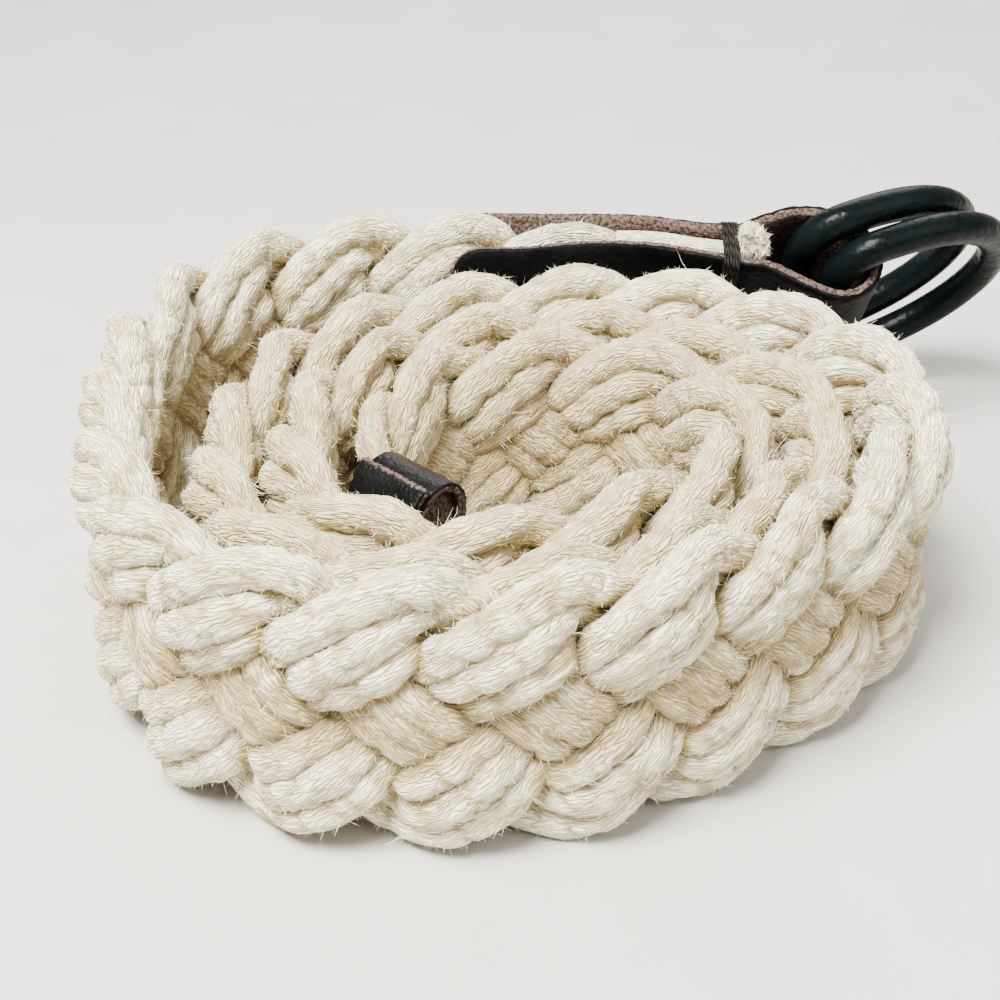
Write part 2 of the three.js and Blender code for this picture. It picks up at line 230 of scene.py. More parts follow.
def in_braid(along, level, depth):
    """Turns a place in the belt, along it, up it and outwards, into a place in the scene."""
    at, out = on_coil(along)
    width = belt_width(along)
    pressed = mix(mix(1, TIP_THINNESS, in_tip(along)), TAB_THINNESS, in_tab(along))
    squeeze = mix(mix(1, INSIDE_TIP / width, in_tip(along)), TAB_SQUEEZE, in_tab(along))
    middle = mix(width / 2, TIP_MIDDLE, in_tip(along))
    height = middle + (level - width / 2) * squeeze
    foot = foot_lean(at) * (1 - in_tip(along)) * (1 - level / width)
    plan = at + out * (depth * pressed + foot)[:, None]
    return np.column_stack([plan, height]) - BOX_CENTRE


print("strand period", round(STRAND_PERIOD, 4), "m")

# %% [markdown]
# Cord and leather are swept: a small outline is carried along a line and the
# copies are joined. A bevelled curve does that too, but its outline keeps one
# shape, and one material all the way round. So one builder collects such sweeps,
# keeps a flat map on them (metres along, metres around) for the weave, and makes
# one mesh of them.

# %% A builder for swept pieces
class Sweeps:
    def __init__(self):
        self.points = []
        self.faces = []
        self.flat = []
        self.slots = []
        self.painted_shades = []
        self.count = 0

    def add(self, rings, along, around, closed=False, slots=None, painted_shades=0.0):
        """rings: stations x points x 3. along and around: the flat map's two measures."""
        stations, sides = rings.shape[:2]
        self.points.append(rings.reshape(-1, 3))
        self.painted_shades.append(np.broadcast_to(painted_shades, (stations, sides)).ravel())
        last = stations if closed else stations - 1
        i, j = np.meshgrid(np.arange(last), np.arange(sides), indexing="ij")
        here = i * sides + self.count
        after = ((i + 1) % stations) * sides + self.count
        beside = (j + 1) % sides
        quads = np.stack([here + j, here + beside, after + beside, after + j], -1).reshape(-1, 4)
        self.faces.extend(quads.tolist())
        u0, u1 = along[i], along[i + 1]
        v0, v1 = around[j], around[j + 1]
        corners = [(u0, v0), (u0, v1), (u1, v1), (u1, v0)]
        self.flat.append(np.stack([np.stack(c, -1) for c in corners], 2).reshape(-1, 2))
        face_slots = np.zeros(sides, int) if slots is None else np.asarray(slots)
        self.slots.extend(np.tile(face_slots, last).tolist())
        if not closed:
            for start, way in ((0, -1), ((stations - 1) * sides, 1)):
                self.faces.append([self.count + start + k for k in range(sides)][::way])
                self.flat.append(np.zeros((sides, 2)))
                self.slots.append(int(face_slots.max()))
        self.count += stations * sides

    def piece(self, name, *materials):
        mesh = bpy.data.meshes.new(name)
        mesh.from_pydata(np.concatenate(self.points).tolist(), [], self.faces)
        flat = mesh.uv_layers.new(name="flat")
        flat.data.foreach_set("uv", np.concatenate(self.flat).ravel())
        mesh.polygons.foreach_set("material_index", self.slots)
        # Painted shade is kept on the points, for the cotton's colour to read.
        painted_shade = mesh.attributes.new("painted_shade", "FLOAT", "POINT")
        painted_shade.data.foreach_set("value", np.concatenate(self.painted_shades).astype(np.float32))
        mesh.shade_smooth()
        for material in materials:
            mesh.materials.append(material)
        piece = bpy.data.objects.new(name, mesh)
        bpy.context.collection.objects.link(piece)
        print(name, len(mesh.polygons), "faces")
        return piece

# %% [markdown]
# Swept pieces start from a line with even steps, because uneven steps would
# stretch the weave, and from a rounded outline that faces out of the belt.

# %% Helpers for lines and outlines
def unit(vectors):
    return vectors / np.linalg.norm(vectors, axis=-1, keepdims=True)


def even_steps(line, step):
    """Points at even steps along a line, with the length up to each."""
    length = np.concatenate([[0], np.cumsum(np.linalg.norm(np.diff(line, axis=0), axis=1))])
    at = np.linspace(0, length[-1], max(2, round(length[-1] / step) + 1))
    return np.column_stack([np.interp(at, length, line[:, k]) for k in range(3)]), at


def round_rings(line, facing, half_out, half_side, sides):
    """Rounded outlines along a line; facing points out of the braid's face."""
    way = unit(np.gradient(line, axis=0))
    normal = unit(facing - way * np.sum(facing * way, axis=1, keepdims=True))
    side = np.cross(way, normal)
    turn = 2 * np.pi * np.arange(sides) / sides
    out = normal[:, None, :] * (half_out[:, None] * np.cos(turn))[..., None]
    across = side[:, None, :] * (half_side[:, None] * np.sin(turn))[..., None]
    return line[:, None, :] + out + across

# %% [markdown]
# Materials come next, each made of nodes. A shader's plain numbers are set on
# its own sockets; only what varies over the surface goes through nodes. Nodes
# can be made one by one, but one helper that also fills or links their sockets
# keeps each material short enough to read.

# %% Helpers for nodes
def new_material(name):
    material = bpy.data.materials.new(name)
    material.use_nodes = True
    tree = material.node_tree
    return material, tree, tree.nodes["Principled BSDF"]


def add_node(tree, kind, inputs=None, **settings):
    node = tree.nodes.new("ShaderNode" + kind)
    for key, value in settings.items():
        setattr(node, key, value)
    for key, value in (inputs or {}).items():
        if isinstance(value, bpy.types.NodeSocket):
            tree.links.new(value, node.inputs[key])
        else:
            node.inputs[key].default_value = value
    return node

# %% [markdown]
# Three kinds of node come up again and again: a colour ramp, a stretched map and
# a blend of two colours.

# %% Helpers for colours
def ramp(tree, source, *stops):
    """Colours by value: each stop is (place, colour)."""
    node = add_node(tree, "ValToRGB", {"Fac": source})
    elements = node.color_ramp.elements
    while len(elements) < len(stops):
        elements.new(0.5)
    for element, (place, colour) in zip(elements, stops):
        element.position = place
        element.color = (*colour, 1) if len(colour) == 3 else colour
    return node.outputs["Color"]


def grey(value):
    return (value, value, value)


def stretched(tree, along, around, source):
    """The flat map, scaled to so many repeats a metre each way."""
    node = add_node(tree, "Mapping", {"Vector": source, "Scale": (along, around, 1)})
    return node.outputs["Vector"]


def blend_colours(tree, share, first, second, how="MIX"):
    node = add_node(tree, "MixRGB", {"Fac": share, "Color1": first, "Color2": second}, blend_type=how)
    return node.outputs["Color"]

# %% [markdown]
# The rope is undyed cotton yarn, knitted loosely round a soft core. Close up it
# shows rows of short pale stitches along the cord with tan shadows between
# them, a faint net where the knitting is stretched, and fluff over everything.
# Stitches of real yarn would take millions of faces, so they are relief in the
# material: long thin cells laid along the flat map make the stitches, and noise
# pulled out lengthwise makes single fibres.

# %% The height of the knit
STITCH_LENGTH = 0.0028
STITCH_WIDTH = 0.00052


def knit_height(tree, flat, place):
    """How proud the yarn stands: stitches, fibres, knots and, in patches, a net."""
    drift = add_node(tree, "TexNoise", {"Vector": stretched(tree, 260, 330, flat), "Scale": 1.0})
    bent = add_node(tree, "VectorMath", {0: drift.outputs["Color"], 1: (0.0012, 0.0016, 0)},
                    operation="MULTIPLY")
    moved = add_node(tree, "VectorMath", {0: flat, 1: bent.outputs["Vector"]}, operation="ADD")
    moved = moved.outputs["Vector"]
    stitches = add_node(tree, "TexVoronoi", {
        "Vector": stretched(tree, 1 / STITCH_LENGTH, 1 / STITCH_WIDTH, moved), "Scale": 1.0,
    }, feature="DISTANCE_TO_EDGE")
    stitch = ramp(tree, stitches.outputs["Distance"], (0.0, grey(0)), (0.16, grey(0.75)), (0.40, grey(1)))
    fibres = add_node(tree, "TexNoise", {
        "Vector": stretched(tree, 600, 6500, moved), "Scale": 1.0, "Detail": 2.0,
    })
    knots = add_node(tree, "TexNoise", {
        "Vector": stretched(tree, 330, 480, moved), "Scale": 1.0, "Detail": 2.0,
    })
    net = add_node(tree, "TexBrick", {
        "Vector": stretched(tree, 380, 720, moved), "Scale": 1.0, "Mortar Size": 0.07,
        "Mortar Smooth": 0.6, "Brick Width": 1.0, "Row Height": 1.0,
    })
    stretched_knit = add_node(tree, "TexNoise", {"Vector": place, "Scale": 55.0})
    net_shows = ramp(tree, stretched_knit.outputs["Fac"], (0.46, grey(0.05)), (0.62, grey(0.55)))
    height = blend_colours(tree, 0.24, stitch, fibres.outputs["Fac"])
    height = blend_colours(tree, 0.34, height, knots.outputs["Fac"])
    net_height = blend_colours(tree, 1.0, net_shows, net.outputs["Fac"], "MULTIPLY")
    return blend_colours(tree, 0.30, height, net_height, "ADD")

# %% [markdown]
# Undyed cotton keeps a few dark flecks of seed husk. Cells make round spots, and
# a slow noise lets only a few of them show.

# %% Seed flecks
HUSK_BROWN = (0.23, 0.15, 0.08, 1)


def seed_flecks(tree, place):
    seed = add_node(tree, "TexVoronoi", {"Vector": place, "Scale": 330.0})
    fleck = ramp(tree, seed.outputs["Distance"], (0.045, grey(1)), (0.075, grey(0)))
    chance = add_node(tree, "TexNoise", {"Vector": place, "Scale": 130.0})
    rare = ramp(tree, chance.outputs["Fac"], (0.66, grey(0)), (0.70, grey(1)))
    return blend_colours(tree, 1.0, fleck, rare, "MULTIPLY")

# %% [markdown]
# The yarn's colour starts from slow pale and creamier patches. Painted shade
# darkens the gaps between stitches a little, and painted shade kept on the mesh
# darkens the dips, the creases and the less lit crossings and inner laps more.

# %% Undyed cotton
def cotton(name, light, shade, crease_shade):
    material, tree, shader = new_material(name)
    flat = add_node(tree, "UVMap").outputs["UV"]
    place = add_node(tree, "TexCoord").outputs["Object"]
    height = knit_height(tree, flat, place)
    bump = add_node(tree, "Bump", {"Height": height, "Distance": 0.0011, "Strength": 1.0})
    tree.links.new(bump.outputs["Normal"], shader.inputs["Normal"])
    patches = add_node(tree, "TexNoise", {"Vector": place, "Scale": 60.0, "Detail": 4.0})
    colour = ramp(tree, patches.outputs["Fac"], (0.32, shade), (0.62, light))
    # Painted shade: the gaps between stitches, where the knit is low, are darkened.
    lines = ramp(tree, height, (0.16, crease_shade), (0.56, grey(1)))
    colour = blend_colours(tree, 0.36, colour, lines, "MULTIPLY")
    # Painted shade: dips, creases between cords and less lit parts of the braid are darkened towards a
    # tan.
    painted_shade = add_node(tree, "Attribute", attribute_name="painted_shade").outputs["Fac"]
    deep_shade = ramp(tree, painted_shade, (0.18, grey(1)), (0.6, crease_shade), (1.0, [c * 0.62 for c in crease_shade]))
    colour = blend_colours(tree, 0.85, colour, deep_shade, "MULTIPLY")
    colour = blend_colours(tree, seed_flecks(tree, place), colour, HUSK_BROWN)
    tree.links.new(colour, shader.inputs["Base Color"])
    shader.inputs["Roughness"].default_value = 0.92
    shader.inputs["Specular IOR Level"].default_value = 0.2
    shader.inputs["Sheen Weight"].default_value = 0.15
    shader.inputs["Sheen Roughness"].default_value = 0.5
    return material

# %% [markdown]
# Loose fibres are too thin to show a weave, so their material is only a pale
# colour that varies slowly from fibre to fibre.

# %% Cotton fluff
def cotton_fluff(name, light, shade):
    material, tree, shader = new_material(name)
    place = add_node(tree, "TexCoord").outputs["Object"]
    patches = add_node(tree, "TexNoise", {"Vector": place, "Scale": 240.0, "Detail": 2.0})
    colour = ramp(tree, patches.outputs["Fac"], (0.35, shade), (0.65, light))
    tree.links.new(colour, shader.inputs["Base Color"])
    shader.inputs["Roughness"].default_value = 0.9
    return material


rope_cotton = cotton("rope_cotton", (0.96, 0.91, 0.66), (0.90, 0.82, 0.54), (0.52, 0.38, 0.17))
fluff_cotton = cotton_fluff("fluff_cotton", (0.97, 0.94, 0.75), (0.92, 0.87, 0.63))
print("cotton nodes:", len(rope_cotton.node_tree.nodes))

# %% [markdown]
# Now the twelve cords. Hand-laid rope is never perfectly even, so a slow wobble
# goes into much of what follows. It comes from one seeded source of random
# numbers, which gives the same belt on each run.

# %% A slow wobble
rng = np.random.default_rng(7)


def wander(along, size):
    """A slow, repeatable wobble along a cord."""
    total = np.zeros_like(along)
    for wave in (0.031, 0.053, 0.097):
        total += np.sin(2 * np.pi * (along / wave + rng.random()))
    return size * total / 1.7


def eased(line, reach):
    """The same line with its small kinks smoothed out."""
    weights = np.hanning(2 * reach + 3)[1:-1]
    padded = np.pad(line, ((reach, reach), (0, 0)), mode="reflect", reflect_type="odd")
    columns = [np.convolve(padded[:, k], weights / weights.sum(), "valid") for k in range(3)]
    return np.column_stack(columns)

# %% [markdown]
# Each cord follows its strand, set off to one side by its place among the
# three. The three crowd together in the middle of the belt, where the strands
# squeeze past each other, and the middle one stands proudest.

# %% The middle line of a cord
CORD_STEP = 0.0011
FINE_STEP = 0.0004
WANDER = 0.0006
SIDE_CORD_WANDER = 0.6
CROWDING = 0.76
SIDE_SINK = 0.0010
CORDS_STOP_SHORT = 0.009
BULGE = 0.0010
OUTER_LAP_REACH = 0.056


def cord_line(strand, cord):
    """The middle line of one cord, with the length up to each of its points."""
    along = np.arange(0.0, BELT_LENGTH - CORDS_STOP_SHORT, FINE_STEP)
    phase = along / STRAND_PERIOD + strand / STRANDS + FIRST_PHASE
    reach = (belt_width(along) - STRAND_WIDTH) / 2
    level = belt_width(along) / 2 + reach * strand_height(phase)
    slope = np.gradient(level, along)
    crowded = mix(CROWDING, 1, smooth(0, 0.75, np.abs(strand_height(phase))))
    steadiness = 1 if cord == 0 else SIDE_CORD_WANDER
    offset = cord * CORD_SPACING * crowded + wander(along, WANDER) * steadiness
    along_offset = -offset * slope / np.hypot(1, slope)
    level_offset = offset / np.hypot(1, slope)
    face = strand_face(phase)
    at, out = on_coil(along)
    outer_lap = smooth(OUTER_LAP_REACH, OUTER_LAP_REACH + 0.004, np.hypot(*(at - POLE).T))
    bulge = BULGE * outer_lap * np.maximum(face, 0) ** 3
    depth = face * (CORD_DIAMETER / 2 - SIDE_SINK * abs(cord)) + bulge + wander(along, WANDER * 0.5)
    line = in_braid(along + along_offset, level + level_offset, depth)
    return even_steps(eased(line, 5), CORD_STEP)


cords = [(strand, cord) for strand in range(STRANDS) for cord in (-1, 0, 1)]
cord_lines = {key: cord_line(*key) for key in cords}
print(len(cords), "cords of about", round(cord_lines[0, 0][1][-1], 2), "m each")

# %% [markdown]
# A cord's outline has to face out of the belt. Each point of its line is matched
# to the nearest place on the coil, which is looked for only near the last match,
# because the laps lie so close that a wider search could find the wrong one.

# %% Which way is out
COIL_STEPS = 2400
SEARCH_STEPS = 60


def facing_out(line):
    """The direction out of the belt's face at points of a line, and how far along they lie."""
    steps = np.linspace(0, BELT_LENGTH, COIL_STEPS)
    at, out = on_coil(steps)
    at = at - BOX_CENTRE[:2]
    nearest = np.empty(len(line), int)
    guess = 0
    for i, point in enumerate(line[:, :2]):
        low = max(0, guess - SEARCH_STEPS)
        window = at[low:guess + SEARCH_STEPS]
        guess = low + int(np.argmin(np.sum((window - point) ** 2, axis=1)))
        nearest[i] = guess
    return np.column_stack([out[nearest], np.zeros(len(line))]), steps[nearest]

# %% [markdown]
# Soft lumps with sharp dips between them cover each cord, because knitted
# cotton isn't smooth. They are real geometry, so they show at the outline too,
# and the depth of each dip is kept on the mesh to paint shade into it.

# %% Lumps of the knit
CORD_SIDES = 18
LUMP_SIZE = 0.0008
LUMP_LENGTH = 0.0031
LUMPS_AROUND = 7


def lumps(length, sides):
    """How proud the knit stands over a cord, from 0 in a dip to 1 on a lump."""
    field = rng.normal(size=(int(length[-1] / LUMP_LENGTH) + 4, LUMPS_AROUND))
    u = (length / LUMP_LENGTH)[:, None]
    v = (np.arange(sides) / sides * LUMPS_AROUND)[None, :]
    row, column = np.floor(u).astype(int), np.floor(v).astype(int)
    share_u, share_v = smooth(0, 1, u - row), smooth(0, 1, v - column)
    beside = (column + 1) % LUMPS_AROUND
    here = mix(field[row, column], field[row, beside], share_v)
    after = mix(field[row + 1, column], field[row + 1, beside], share_v)
    return np.tanh(1.6 * np.abs(mix(here, after, share_u)))

# %% [markdown]
# Each outline of a cord is an oval that swells a little, is pressed thin in the
# tab and the tip, and gets the lumps on top. Nothing goes below the floor.

# %% The outlines of a cord
FLOOR_CLEARANCE = 0.0001
THIN_IN_TIP = 0.50
THIN_IN_TAB = 0.54


def cord_rings(line, length):
    """The outlines along one cord, painted shade for the dips between their lumps, and how far along they
    lie.
    """
    facing, along = facing_out(line)
    thin = mix(1, THIN_IN_TIP, in_tip(along)) * mix(1, THIN_IN_TAB, in_tab(along))
    swell = 1 + wander(length, 0.02)
    proud = lumps(length, CORD_SIDES)
    rise = (proud - 0.55) * LUMP_SIZE * thin[:, None]
    half_out = CORD_DIAMETER / 2 * thin * swell
    half_side = CORD_DIAMETER / 2 * mix(1.09, 0.78, in_tip(along)) * swell
    rings = round_rings(line, facing, half_out, half_side, CORD_SIDES)
    rings = rings + unit(rings - line[:, None, :]) * rise[..., None]
    rings[..., 2] = np.maximum(rings[..., 2], FLOOR_CLEARANCE)
    return rings, 1 - proud, along

# %% [markdown]
# Where two cords press together there is a crease that stays darker, because
# light hardly reaches it. Each point of a cord looks for the nearest middle
# line of another cord; the closer that is, the deeper the point lies. Cords of
# one strand lie snugly side by side, so the creases between them are shallow.

# %% Creases between the cords
CREASE_NEAR = 0.0031
CREASE_FAR = 0.0044
CROSSING_FAR = 0.0056
SNUG_CREASE = 0.50
NEIGHBOURS = 11


def line_finder():
    """Finds the nearest middle lines; each point knows which cord it belongs to."""
    owners = []
    total = sum(len(line) for line, length in cord_lines.values())
    finder = KDTree(total)
    for number, key in enumerate(cords):
        for point in cord_lines[key][0]:
            finder.insert(point, len(owners))
            owners.append(number)
    finder.balance()
    return finder, owners


def creases(rings, number, finder, owners):
    """From 0 on a free surface to 1 where another strand presses against it."""
    snug = np.full(rings.shape[:2], CREASE_FAR)
    crossing = np.full(rings.shape[:2], CROSSING_FAR)
    for i, ring in enumerate(rings):
        for j, point in enumerate(ring):
            for place, index, distance in finder.find_n(point, NEIGHBOURS):
                if owners[index] == number:
                    continue
                nearest = snug if owners[index] // CORDS == number // CORDS else crossing
                nearest[i, j] = min(nearest[i, j], distance)
    shallow = SNUG_CREASE * (1 - smooth(CREASE_NEAR, CREASE_FAR, snug))
    return np.maximum(shallow, 1 - smooth(CREASE_NEAR, CROSSING_FAR, crossing))

# %% [markdown]
# The crossings in the belt's middle and the inner laps of the coil get painted
# shade, so they look creamier and less bright than the lobes on its edges: a
# share of the same colour as the dips. Then each strand's three cords are swept
# and joined into one piece.

# %% The four strands
# Shares of painted shade for the crossings, the inner laps and the lumps on them.
MIDDLE_SHADE = 0.46
INNER_SHADE = 0.40
LUMP_SHADE = 0.6
LUMP_SHADE_ON_SHADED = 0.3


def middle_and_inner_shade(rings, along):
    """Painted shade: the crossings in the belt's middle and the inner laps are made less bright than the
    lobes.
    """
    level = rings[..., 2] / belt_width(along)[:, None]
    middle = 1 - smooth(0.10, 0.42, 2 * np.abs(level - 0.5))
    inner = smooth(WIDTH_CHANGE_FROM, WIDTH_CHANGE_TO, along)[:, None]
    return np.maximum(MIDDLE_SHADE * middle, INNER_SHADE * inner)


finder, owners = line_finder()
strand_rings = {}
for strand in range(STRANDS):
    sweeps = Sweeps()
    for cord in (-1, 0, 1):
        line, length = cord_lines[strand, cord]
        rings, painted_shades, along = cord_rings(line, length)
        pressed = creases(rings, cords.index((strand, cord)), finder, owners)
        around = np.linspace(0, np.pi * CORD_DIAMETER, CORD_SIDES + 1)
        painted_shades = np.maximum(painted_shades * LUMP_SHADE, pressed)
        painted_shades = np.maximum(painted_shades, middle_and_inner_shade(rings, along) + painted_shades * LUMP_SHADE_ON_SHADED)
        sweeps.add(rings, length + 0.37 * strand + 0.11 * cord, around, painted_shades=painted_shades)
        strand_rings[strand, cord] = rings
    piece = sweeps.piece(f"braid_strand_{strand + 1}", rope_cotton)
    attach(piece, "belt")
    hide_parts("rope_braid")

# %% [markdown]
# Cotton rope is fluffy: thousands of fine fibre ends stand off it, and they
# soften its outline against the light. A hair system could grow them; plain thin
# faces are chosen because they are part of the mesh and come out the same in
# each run. Most are short fuzz, a triangle each; the rest are longer loose
# fibres, bent slivers that lie mostly along the cord.

# %% Spikes and slivers
def spikes(roots, ways, lengths, widths):
    """Points and faces of straight spikes, one triangle each."""
    sides = unit(np.cross(ways, rng.normal(size=ways.shape)))
    half = sides * (widths / 2)[:, None]
    corners = np.stack([roots - half, roots + half, roots + ways * lengths[:, None]], 1)
    faces = (np.arange(len(roots))[:, None] * 3 + [0, 1, 2]).tolist()
    return corners.reshape(-1, 3), faces


def slivers(roots, ways, lengths, widths, sag):
    """Points and faces of tapered, bent slivers: a quad and then a point."""
    sides = unit(np.cross(ways, rng.normal(size=ways.shape)))
    bends = sag * lengths[:, None]
    middle = roots + ways * (lengths * 0.55)[:, None] + bends * 0.3
    tips = roots + ways * lengths[:, None] + bends
    half = sides * (widths / 2)[:, None]
    corners = np.stack([roots - half, roots + half, middle + half * 0.7, middle - half * 0.7, tips], 1)
    first = np.arange(len(roots))[:, None] * 5
    quads = (first + [0, 1, 2, 3]).tolist()
    ends = (first + [3, 2, 4]).tolist()
    return corners.reshape(-1, 3), quads + ends


def loose_piece(name, points, faces, material):
    mesh = bpy.data.meshes.new(name)
    mesh.from_pydata(points.tolist(), [], faces)
    mesh.shade_smooth()
    mesh.materials.append(material)
    piece = bpy.data.objects.new(name, mesh)
    bpy.context.collection.objects.link(piece)
    print(name, len(faces), "faces")
    return piece

# %% [markdown]
# Fibres grow from random places on the cords' own surface. They come out of yarn
# that runs along the cord, so most of them lean along it, either way.

# %% Where the fluff grows
def roots_on(rings, count):
    """Random places on swept rings, with the outward direction and the way along."""
    stations, sides = rings.shape[:2]
    i = rng.integers(1, stations - 2, count)
    j = rng.integers(0, sides, count)
    share = rng.random((count, 1))
    place = mix(rings[i, j], rings[i + 1, j], share)
    beside = mix(rings[i, (j + 1) % sides], rings[i + 1, (j + 1) % sides], share)
    place = mix(place, beside, rng.random((count, 1)))
    middle = rings.mean(axis=1)[i]
    return place, unit(place - middle), unit(rings[i + 1, j] - rings[i, j])


def fluff_headings(outs, ways, lowest, highest):
    """Directions that lean along the cord, either way, and lift off it."""
    count = len(outs)
    turned_back = np.where(rng.random((count, 1)) < 0.5, -1, 1)
    lift = rng.uniform(lowest, highest, (count, 1))
    return unit(outs * lift + ways * turned_back + rng.normal(scale=0.5, size=(count, 3)))


def grown_on(strand, count):
    """Roots, outward directions and ways along for all three cords of a strand."""
    grown = [roots_on(strand_rings[strand, cord], count) for cord in (-1, 0, 1)]
    return (np.concatenate(parts) for parts in zip(*grown))

# %% [markdown]
# Each strand gets one piece of fluff, short fuzz and longer loose fibres
# together. The lengths follow a curve with many short and few long ones.

# %% Fluff on the cords
FUZZ_PER_CORD = 14000
LOOSE_PER_CORD = 4200

for strand in range(STRANDS):
    roots, outs, ways = grown_on(strand, FUZZ_PER_CORD)
    lengths = 0.0006 + np.minimum(rng.gamma(2.0, 0.0003, len(roots)), 0.0012)
    widths = rng.uniform(0.00005, 0.00009, len(roots))
    fuzz = spikes(roots, fluff_headings(outs, ways, 0.3, 1.6), lengths, widths)
    roots, outs, ways = grown_on(strand, LOOSE_PER_CORD)
    lengths = 0.0009 + np.minimum(rng.gamma(2.0, 0.0004, len(roots)), 0.0015)
    widths = rng.uniform(0.00005, 0.00008, len(roots))
    sag = rng.normal(scale=0.45, size=(len(roots), 3))
    loose = slivers(roots, fluff_headings(outs, ways, 0.2, 1.1), lengths, widths, sag)
    points = np.vstack([fuzz[0], loose[0]])
    points[:, 2] = np.maximum(points[:, 2], FLOOR_CLEARANCE)
    faces = fuzz[1] + [[corner + len(fuzz[0]) for corner in face] for face in loose[1]]
    fluff = loose_piece(f"fluff_{strand + 1}", points, faces, fluff_cotton)
    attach(fluff, "belt")
    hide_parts("rope_braid")

# %% [markdown]
# The leather parts are strips of hide about two millimetres thick, black and
# grained outside, with cut edges and a back of raw brown suede. An even black
# would look like plastic. So rounded cells make the grain, slow noise adds
# creases that hold a little dust, and the shine varies with the wear.

# %% Black leather
LEATHER_BLACK = (0.0010, 0.0012, 0.0012)
WORN_BLACK = (0.0032, 0.0036, 0.0035)
DUST = (0.045, 0.042, 0.038, 1)


def black_leather(name, roughness, scale, specular):
    material, tree, shader = new_material(name)
    place = add_node(tree, "TexCoord").outputs["Object"]
    grain = add_node(tree, "TexVoronoi", {"Vector": place, "Scale": scale}, feature="SMOOTH_F1")
    creases = add_node(tree, "TexNoise", {"Vector": place, "Scale": scale * 0.22, "Detail": 6.0})
    height = blend_colours(tree, 0.5, grain.outputs["Distance"], creases.outputs["Fac"])
    bump = add_node(tree, "Bump", {"Height": height, "Distance": 0.0005, "Strength": 0.6})
    tree.links.new(bump.outputs["Normal"], shader.inputs["Normal"])
    wear = add_node(tree, "TexNoise", {"Vector": place, "Scale": 95.0, "Detail": 6.0})
    colour = ramp(tree, wear.outputs["Fac"], (0.35, LEATHER_BLACK), (0.72, WORN_BLACK))
    dusty = ramp(tree, creases.outputs["Fac"], (0.64, grey(0)), (0.82, grey(0.25)))
    colour = blend_colours(tree, dusty, colour, DUST)
    tree.links.new(colour, shader.inputs["Base Color"])
    shine = ramp(tree, wear.outputs["Fac"], (0.3, grey(roughness - 0.08)), (0.7, grey(roughness + 0.12)))
    tree.links.new(shine, shader.inputs["Roughness"])
    shader.inputs["Specular IOR Level"].default_value = specular
    return material

# %% [markdown]
# Where leather is cut, its brown inside shows as a matt nap. Fine noise and small
# cells together give the torn look of a raw edge.

# %% Raw suede
def suede(name, dark, light):
    material, tree, shader = new_material(name)
    place = add_node(tree, "TexCoord").outputs["Object"]
    nap = add_node(tree, "TexNoise", {"Vector": place, "Scale": 1500.0, "Detail": 5.0})
    tufts = add_node(tree, "TexVoronoi", {"Vector": place, "Scale": 900.0})
    height = blend_colours(tree, 0.5, nap.outputs["Fac"], tufts.outputs["Distance"])
    bump = add_node(tree, "Bump", {"Height": height, "Distance": 0.0007, "Strength": 0.9})
    tree.links.new(bump.outputs["Normal"], shader.inputs["Normal"])
    colour = ramp(tree, nap.outputs["Fac"], (0.36, dark), (0.64, light))
    tree.links.new(colour, shader.inputs["Base Color"])
    shader.inputs["Roughness"].default_value = 0.95
    shader.inputs["Specular IOR Level"].default_value = 0.15
    return material


tab_leather = black_leather("tab_leather", 0.50, 900.0, 0.05)
tip_leather = black_leather("tip_leather", 0.36, 1500.0, 0.10)
raw_edge = suede("raw_edge", (0.020, 0.013, 0.010), (0.125, 0.086, 0.070))
print("leathers:", tab_leather.name, tip_leather.name, raw_edge.name)

# %% [markdown]
# Both leather parts are strips. A strip's outline is a flat band with rounded
# edges. The dye runs a little way over each edge, so the first faces of an edge
# are still black. A flat plane with a thickness added later would have sharp,
# even edges.

# %% A strip's outline
ACROSS_STEPS = 22
EDGE_STEPS = 4
EDGE_ROUND = 0.35
BLACK_OVER_EDGE = 2


def strip_outline(half_width, thickness):
    """One cut through a strip: (across, outwards) pairs, and which face runs after each."""
    half = thickness / 2
    across = np.linspace(-1, 1, ACROSS_STEPS)
    flat_half = half_width - half * EDGE_ROUND
    outer = [(a * flat_half, half) for a in across]
    bulge = np.linspace(0, np.pi, EDGE_STEPS + 2)[1:-1]
    edge = [(flat_half + math.sin(b) * half * EDGE_ROUND, math.cos(b) * half) for b in bulge]
    inner = [(-a, -b) for a, b in outer]
    other_edge = [(-a, -b) for a, b in edge]
    outline = np.array([*outer, *edge, *inner, *other_edge])
    dyed = len(outer) - 1 + BLACK_OVER_EDGE
    raw = len(outline) - dyed - BLACK_OVER_EDGE
    slots = [0] * dyed + [1] * raw + [0] * BLACK_OVER_EDGE
    return outline, slots

# %% [markdown]
# One function sweeps both strips. The points on their edges are moved a few
# hundredths of a millimetre at random, which gives a cut edge its nap.

# %% Strips of leather
def leather_strip(name, at, up, outward, half_widths, thickness, materials, roughen):
    """Sweeps a strip through its stations and roughens its raw edges."""
    up = unit(up)
    outward = unit(outward)
    rings = []
    for i, half_width in enumerate(half_widths):
        outline, slots = strip_outline(half_width, thickness)
        rings.append(at[i] + up[i] * outline[:, :1] + outward[i] * outline[:, 1:])
    rings = np.array(rings)
    raw = np.array([1 if abs(a) > half_widths[0] - thickness * 0.3 else 0 for a in outline[:, 0]])
    jitter = rng.normal(scale=roughen, size=rings.shape) * raw[None, :, None]
    rings = rings + jitter
    length = np.concatenate([[0], np.cumsum(np.linalg.norm(np.diff(at, axis=0), axis=1))])
    around = np.concatenate([outline[:, 0], outline[:1, 0]])
    sweeps = Sweeps()
    sweeps.add(rings, length, around, slots=slots)
    return sweeps.piece(name, *materials), rings

# %% [markdown]
# The tab is one strip folded round the bars of the two rings. Its leaves start
# wide apart on either side of the belt, close on the cord ends, and the whole
# strip twists so that the loop leans towards the viewer.

